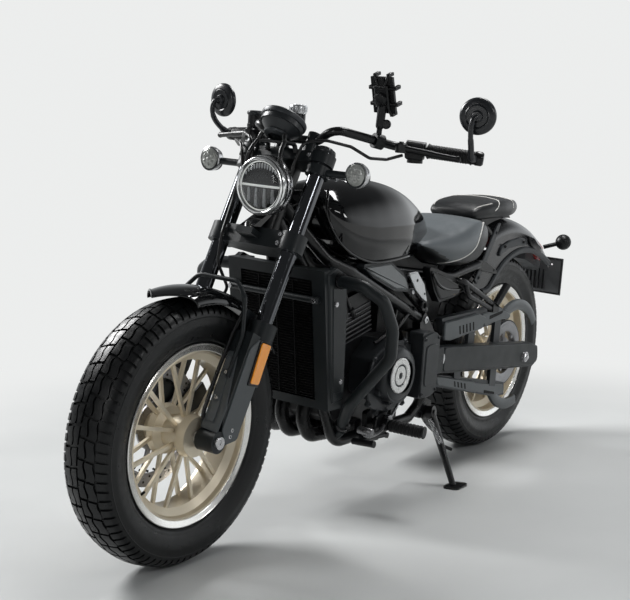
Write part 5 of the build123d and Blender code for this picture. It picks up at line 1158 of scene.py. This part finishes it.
# ------------------------------------------------------------ belt guards, swingarm and rear axle
def belt_guards():
    side = flank(134)
    arc = Shape()
    for a0, a1 in ((-56, 34), (120, 196)):
        arc.loft([[around(REAR_AXLE, r, a, y) for r, y in
                   ((146, 122), (146, 132), (150, 135), (176, 135), (180, 132), (180, 122))]
                  for a in steps(a0, a1, 30)])
    arc.make("pulley_arc", "chassis", "guard_grey", "guard_satin")
    skins = Shape()
    for outline, radius, height, bevel in (
        ([(-262, 486), (-470, 490), (-520, 472), (-500, 440), (-300, 426), (-262, 432)], 6, 9, 3),
        ([(-500, 484), (-612, 492), (-694, 462), (-690, 450), (-624, 452), (-520, 444)], 5, 4.5, 1.5),
        ([(-238, 330), (-480, 276), (-510, 252), (-500, 236), (-250, 300)], 7, 7, 2.5),
        ([(-490, 270), (-690, 232), (-698, 204), (-640, 206), (-500, 240)], 6, 3.5, 1.5),
    ):
        skins.plate(rounded(outline, radius, 3), side, -1, height, bevel)
    skins.make("belt_guard_skins", "chassis", "guard_grey", "guard_satin")
    # Dark plates in the guards stand for their slots: painted shade.
    slots = Shape()
    for k in range(5):
        x, z = -352 - 21 * k, 440 + 0.6 * k
        slots.plate([(x, z), (x - 8, z), (x - 2, z + 26), (x + 6, z + 26)], side, 8.0, 9.6, 0.3)
    slots.plate(rounded([(-548, 462), (-632, 472), (-640, 482), (-548, 474)], 3, 3), side, 3.8, 5.2, 0.4)
    slots.plate(rounded([(-556, 236), (-628, 219), (-632, 210), (-556, 226)], 3, 3), side, 2.9, 4.2, 0.4)
    for k in range(4):
        x, z = -352 - 22 * k, 280 - 5.6 * k
        slots.plate([(x, z), (x - 9, z - 2.4), (x - 3, z + 16), (x + 6, z + 18)], side, 6.2, 7.6, 0.3)
    slots.make("belt_guard_slot_shade", "chassis", "guard_grey", "radiator_core")


def rear_axle_trim():
    nuts = Shape()
    for q, y in ((1, 170), (-1, 160)):
        c = REAR_AXLE + Vector((2, q * y, 0))
        nuts.lathe([(19, -2), (20, 0), (20, 3), (18, 4), (0, 4)], c, Y * q, 36)
        nuts.nut(c + Y * q * 4, Y * q, 14.5, 10)
        nuts.lathe([(8, 0), (8, 16), (6, 18), (0, 18)], c, Y * q, 24)
        nuts.nut((-858, q * (y - 14), 320), -X, 6.5, 9)
    for x in (-196, -206):
        nuts.box((x - 3, 168, 362), (x + 3, 171.5, 408), 1)
    nuts.make("axle_nuts", "chassis", "axle_steel", "plated_steel")
    outline = [(-214, 424), (-270, 418), (-800, 360), (-846, 344), (-854, 300), (-822, 284), (-276, 344),
               (-214, 352)]
    arm = Shape().plate(rounded(outline, 12, 5), flank(170), -1, 4, 3)
    arm.plate(rounded([(-160, 428), (-208, 424), (-208, 350), (-160, 350)], 10, 4), flank(170), -1, 6, 2.5)
    arm.make("swingarm_face", "chassis", "frame_black", "charcoal_satin", 30)
    teeth = Shape()
    for turn in steps(0, 2 * math.pi, 56)[:-1]:
        m = Matrix.Translation(REAR_AXLE) @ Matrix.Rotation(turn, 4, "Y")
        teeth.box((-2.6, 83, 98), (2.6, 101.4, 105.2), 0.8, m)
    teeth.lathe([(70, 82), (74, 80), (98, 80), (99, 84), (99, 100), (96, 103), (76, 103), (70, 100)],
                REAR_AXLE, Y, 72, True)
    for a, b in spin(6, 58):
        teeth.nut(REAR_AXLE + Vector((a, 103, b)), Y, 7, 6)
    teeth.make("pulley_teeth", "rear_wheel_set", "pulley_alloy", "cast_alloy")
    low, high = Vector((-315, 0, 432)), Vector((-328, 0, 568))
    turns = spin(145, 33, step=15)
    coil = [basis(low, high - low) @ Vector((a, b, h)) for (a, b), h in zip(turns, steps(0, 137, 144))]
    Shape().tube(coil, 4.4, 8).make("shock_coil", "chassis", "shock_black", "frame_black")


# ------------------------------------------------------------ wheels
VALVE_TURN = 128  # degrees from straight up


def wheel_trim(name, axle, half, body, disc_y, disc_r):
    lip = [(202, half - 1), (216, half - 1), (219.5, half + 1.5), (219.5, half + 4.0), (217.5, half + 5.5),
           (215, half + 3.6), (204, half + 2.6), (202, half + 0.8)]
    lips = Shape()
    for q in SIDES:
        lips.lathe(lip, axle, Y * q, 144, True)
    lips.make(name + "_rim_lips", body, "gold_wheel", "rim_lip", 40)
    stem = [around(axle, r, VALVE_TURN, half + y) for r, y in ((201, -26), (187, -18), (175, -14))]
    Shape().tube(stem, [4.5, 3.2, 3.2]).make(name + "_valve", body, "tyre_rubber", "black_plastic")
    # Dark discs on both faces of the brake disc stand for its holes: painted shade.
    holes = Shape()
    for k in range(28):
        for j, r in enumerate((disc_r - 12, disc_r - 26, disc_r - 39)):
            for q in SIDES:
                place = around(axle, r, 90 - 360 * (k + j / 3) / 28, disc_y + q * 2.3)
                holes.lathe([(3.4, 0), (3.2, 0.4), (0, 0.4)], place, Y * q, 8)
    holes.make(name + "_disc_hole_shade", body, "disc_steel", "radiator_core")


# ------------------------------------------------------------ pegs, foot levers and stand
STAND_ROOT = Vector((-238, 128, 218))
STAND_FOOT = Vector((-222, 262, 30))


def stands_and_pegs():
    rib = ((17.4, 2), (17.4, 7), (15.2, 8.4), (15.2, 10.6))
    rubber = [(13, -2), (17, 0)] + [(r, h + 10.2 * k) for k in range(9) for r, h in rib]
    rubber += [(17.4, 96), (16, 99), (0, 99)]
    peg = Shape()
    for q in SIDES:
        peg.lathe(rubber, (78, q * 186, 249), (-16, q * 96, -3), 32)
    peg.make("peg_rubbers", "chassis", "rubber_black", "grip_rubber")
    pivot = [(13, 0), (13, 12), (10, 14), (0, 14)]
    lever = Shape().tube(bent([(70, 172, 262), (120, 178, 236), (190, 184, 238), (226, 186, 262)], 30), 6)
    lever.lathe([(9.5, 0), (10.5, 2), (10.5, 40), (8.5, 43), (0, 43)], (226, 178, 264), Y, 24)
    lever.tube([(70, 176, 262), (20, 172, 300), (-18, 168, 318)], 4, 10)
    lever.lathe(pivot, (70, 166, 262), Y, 28)
    lever.tube(bent([(70, -172, 262), (120, -180, 232), (186, -190, 236), (214, -200, 256)], 30), 6.5)
    lever.box((200, -226, 250), (228, -186, 258), 2.5)
    lever.lathe(pivot, (70, -166, 262), -Y, 28)
    lever.make("foot_levers", "chassis", "control_black", "dark_steel")
    hanger = Shape()
    for q in SIDES:
        outline = [(112, 274), (118, 232), (86, 216), (50, 222), (44, 262), (70, 284)]
        hanger.plate(rounded(outline, 10, 4), flank(150, q), 0, 12, 2.5)
        hanger.lathe([(14, 0), (16, 2), (16, 22), (13, 24), (0, 24)], (80, q * 160, 250), Y * q, 28)
    hanger.make("peg_hangers", "chassis", "control_black", "frame_black")
    start = STAND_ROOT.lerp(STAND_FOOT, 0.08) + X * 14
    end = STAND_ROOT.lerp(STAND_FOOT, 0.42) + X * 13
    m = basis(start, end - start)
    turns = spin(151, 5.5, step=math.degrees(0.8))
    spring = [m @ Vector((a, b, h)) for (a, b), h in zip(turns, steps(0, (end - start).length, 150))]
    Shape().tube(spring, 1.5, 6).make("stand_spring", "side_stand_arm", "control_black", "plated_steel")


# ------------------------------------------------------------ tail
PLATE_X = -1111


def tail():
    def slope(a, b, h):
        return Vector((-1046 - 0.81 * b - 0.58 * h, a, 660 - 0.58 * b + 0.81 * h))

    outline = [(-46, -14), (46, -14), (46, 30), (34, 44), (-34, 44), (-46, 30)]
    lens = Shape().plate(rounded(outline, 9, 4), slope, -6, 3, 3)
    lens.make("tail_lens", "chassis", "tail_red", "red_lens")
    ribs = Shape()
    for y in range(-48, 49, 16):
        ribs.box((-1112.4, y - 1.6, 492), (-1107, y + 1.6, 562), 0.8)
    edge = [(PLATE_X, -112, 482), (PLATE_X, 112, 482), (PLATE_X, 112, 602), (PLATE_X, -112, 602)]
    ribs.tube(bent(edge, 8), 2.4, 8, True)
    ribs.make("plate_frame", "chassis", "trim_black", "black_plastic")


for q in SIDES:
    fork_trim(q)
gauge()
pots()
mirror_bodies = Shape()
for q in SIDES:
    controls(q)
    mirror(q, mirror_bodies)
mirror_bodies.make("mirror_bodies", "steering", "control_black", "mirror_black", replaces=["mirrors"])
phone_holder()
engine_left()
engine_rest()
radiator_dressing()
side_trim()
belt_guards()
rear_axle_trim()
wheel_trim("front", FRONT_AXLE, 50, "front_wheel_set", -68.5, 150)
wheel_trim("rear", REAR_AXLE, 63, "rear_wheel_set", -84.5, 120)
stands_and_pegs()
tail()

# ------------------------------------------------------------ camera
YAW, PITCH, ROLL = (math.radians(a) for a in (-144.919, -6.884, -0.201))
CAMERA_FROM_HUB = Vector((2.2362, 1.9730, 0.6677))  # metres
FOCAL_PX, PHOTO_WIDTH, SENSOR_MM = 1284.7, 630, 36.0


def look_camera():
    ahead = Vector((math.cos(PITCH) * math.cos(YAW), math.cos(PITCH) * math.sin(YAW), math.sin(PITCH)))
    right = ahead.cross(Z).normalized()
    up = right.cross(ahead)
    x = right * math.cos(ROLL) + up * math.sin(ROLL)
    y = up * math.cos(ROLL) - right * math.sin(ROLL)
    cam = bpy.data.cameras.new("camera")
    cam.sensor_fit = "HORIZONTAL"
    cam.sensor_width = SENSOR_MM
    cam.lens = FOCAL_PX / PHOTO_WIDTH * SENSOR_MM
    cam.clip_end = 100
    obj = bpy.data.objects.new("camera", cam)
    obj.matrix_world = axes(HUB + CAMERA_FROM_HUB, x, y, -ahead)
    bpy.context.scene.collection.objects.link(obj)
    bpy.context.scene.camera = obj


look_camera()

# ------------------------------------------------------------ studio
WALLS = (  # direction, where its smooth edge starts, strength
    ((-0.94, 0.33, 0.05), 0.60, 1.15),
    ((-0.36, -0.93, 0.05), 0.72, 0.55),
)
ROOM = 0.09
BACKDROP = (0.84, 0.85, 0.845, 1)
FLOOR_DARK = (0.54, 0.555, 0.55, 1)
FLOOR_LIGHT = (0.65, 0.66, 0.655, 1)
FLOOR_HALF = 30


def math_node(tree, operation, *inputs):
    return add_node(tree, "Math", dict(enumerate(inputs)), operation=operation)


def ramp(tree, value, start, end, low=0.0, high=1.0, kind="SMOOTHSTEP"):
    """A value from low to high while another goes from start to end."""
    inputs = {"Value": value, "From Min": start, "From Max": end, "To Min": low, "To Max": high}
    return add_node(tree, "MapRange", inputs, "Result", interpolation_type=kind)


def mix_shader(tree, share, first, second):
    return add_node(tree, "MixShader", {0: share, 1: first, 2: second})


def ray(tree, kind):
    return add_node(tree, "LightPath", out=f"Is {kind} Ray")


def studio_world():
    """Soft light; reflections show a dark room with white bands on two walls, and the camera a backdrop."""
    world = bpy.data.worlds.new("studio")
    bpy.context.scene.world = world
    world.use_nodes = True
    tree = world.node_tree
    tree.nodes.clear()
    way = add_node(tree, "TexCoord", out="Generated")
    shares = []
    for direction, edge, strength in WALLS:
        facing = add_node(tree, "VectorMath", {0: way, 1: direction}, "Value", operation="DOT_PRODUCT")
        shares.append(ramp(tree, facing, edge, 0.97, high=strength))
    band = ramp(tree, add_node(tree, "SeparateXYZ", {0: way}, "Z"), 0.55, 0.15)
    lit = math_node(tree, "MULTIPLY_ADD", math_node(tree, "MAXIMUM", *shares), band, ROOM)
    room = add_node(tree, "Background", {"Color": (0.95, 0.98, 1.0, 1), "Strength": lit})
    soft = add_node(tree, "Background", {"Color": (0.94, 0.97, 1.0, 1), "Strength": 0.18})
    plain = add_node(tree, "Background", {"Color": BACKDROP, "Strength": 1.0})
    seen = math_node(tree, "MAXIMUM", ray(tree, "Camera"), ray(tree, "Transmission"))
    shader = mix_shader(tree, seen, mix_shader(tree, ray(tree, "Glossy"), soft, room), plain)
    add_node(tree, "OutputWorld", {"Surface": shader})


def studio_floor():
    """A pale floor, its colour painted darker towards -Y and lighter towards +Y, that fades into the backdrop
    for the camera and for reflections.
    """
    mesh = bpy.data.meshes.new("studio_floor")
    corners = [(-1, -1), (1, -1), (1, 1), (-1, 1)]
    mesh.from_pydata([(x * FLOOR_HALF, y * FLOOR_HALF, 0) for x, y in corners], [], [[0, 1, 2, 3]])
    floor = bpy.data.objects.new("studio_floor", mesh)
    bpy.context.scene.collection.objects.link(floor)
    made = bpy.data.materials.new("studio_floor")
    made.use_nodes = True
    tree = made.node_tree
    shader = tree.nodes["Principled BSDF"]
    place = add_node(tree, "TexCoord", out="Object")
    noise = add_node(tree, "TexNoise", {"Vector": place, "Scale": 2.2, "Detail": 7}, "Fac")
    tone = {"A": FLOOR_DARK, "B": FLOOR_LIGHT, "Factor": noise}
    tone = add_node(tree, "Mix", tone, "Result", data_type="RGBA")
    # Painted light and shade: the floor's colour darkens towards -Y, where the window_right lamp lights it,
    # and lightens towards +Y, where the motorcycle's shadow falls.
    painted_floor_shade = ramp(tree, add_node(tree, "SeparateXYZ", {0: place}, "Y"), -1.3, 1.3, 0.76, 1.30, "LINEAR")
    color = add_node(tree, "VectorMath", {0: tone, "Scale": painted_floor_shade}, operation="SCALE")
    feed(tree, shader, {"Roughness": 0.45, "Specular IOR Level": 0.35, "Base Color": color})
    distance = add_node(tree, "VectorMath", {0: place}, "Value", operation="LENGTH")
    shares = []
    for kind, start, end in (("Camera", 1.0, 2.6), ("Glossy", 2.4, 5.5)):
        fade = ramp(tree, distance, start, end, kind="SMOOTHERSTEP")
        shares.append(math_node(tree, "MULTIPLY", fade, ray(tree, kind)))
    share = math_node(tree, "MAXIMUM", *shares)
    glow = add_node(tree, "Emission", {"Color": BACKDROP})
    feed(tree, tree.nodes["Material Output"], {"Surface": mix_shader(tree, share, shader.outputs[0], glow)})
    mesh.materials.append(made)


def lamp(name, place, target, size, power):
    """A soft box that faces a target, in metres and watts."""
    data = bpy.data.lights.new(name, "AREA")
    data.shape = "RECTANGLE"
    data.size, data.size_y = size
    data.energy = power
    obj = bpy.data.objects.new(name, data)
    obj.location = place
    obj.rotation_euler = (Vector(target) - Vector(place)).to_track_quat("-Z", "Y").to_euler()
    bpy.context.scene.collection.objects.link(obj)


studio_world()
studio_floor()
lamp("window_right", (0.4, -3.2, 2.9), (0, 0, 0.3), (1.8, 1.2), 188)
lamp("top_box", (-1.1, 0.3, 3.0), (-0.2, 0, 0.2), (1.5, 0.6), 52)
lamp("window_left", (-1.3, 3.3, 1.7), (0, 0, 0.7), (0.35, 0.7), 11)
lamp("strip_left", (0.9, 3.6, 2.2), (0.1, 0, 0.6), (1.2, 0.22), 13)
lamp("fill_front", (3.6, 0.4, 1.7), (0.3, 0, 0.5), (0.4, 1.2), 10)
bpy.context.scene.view_settings.view_transform = "Standard"
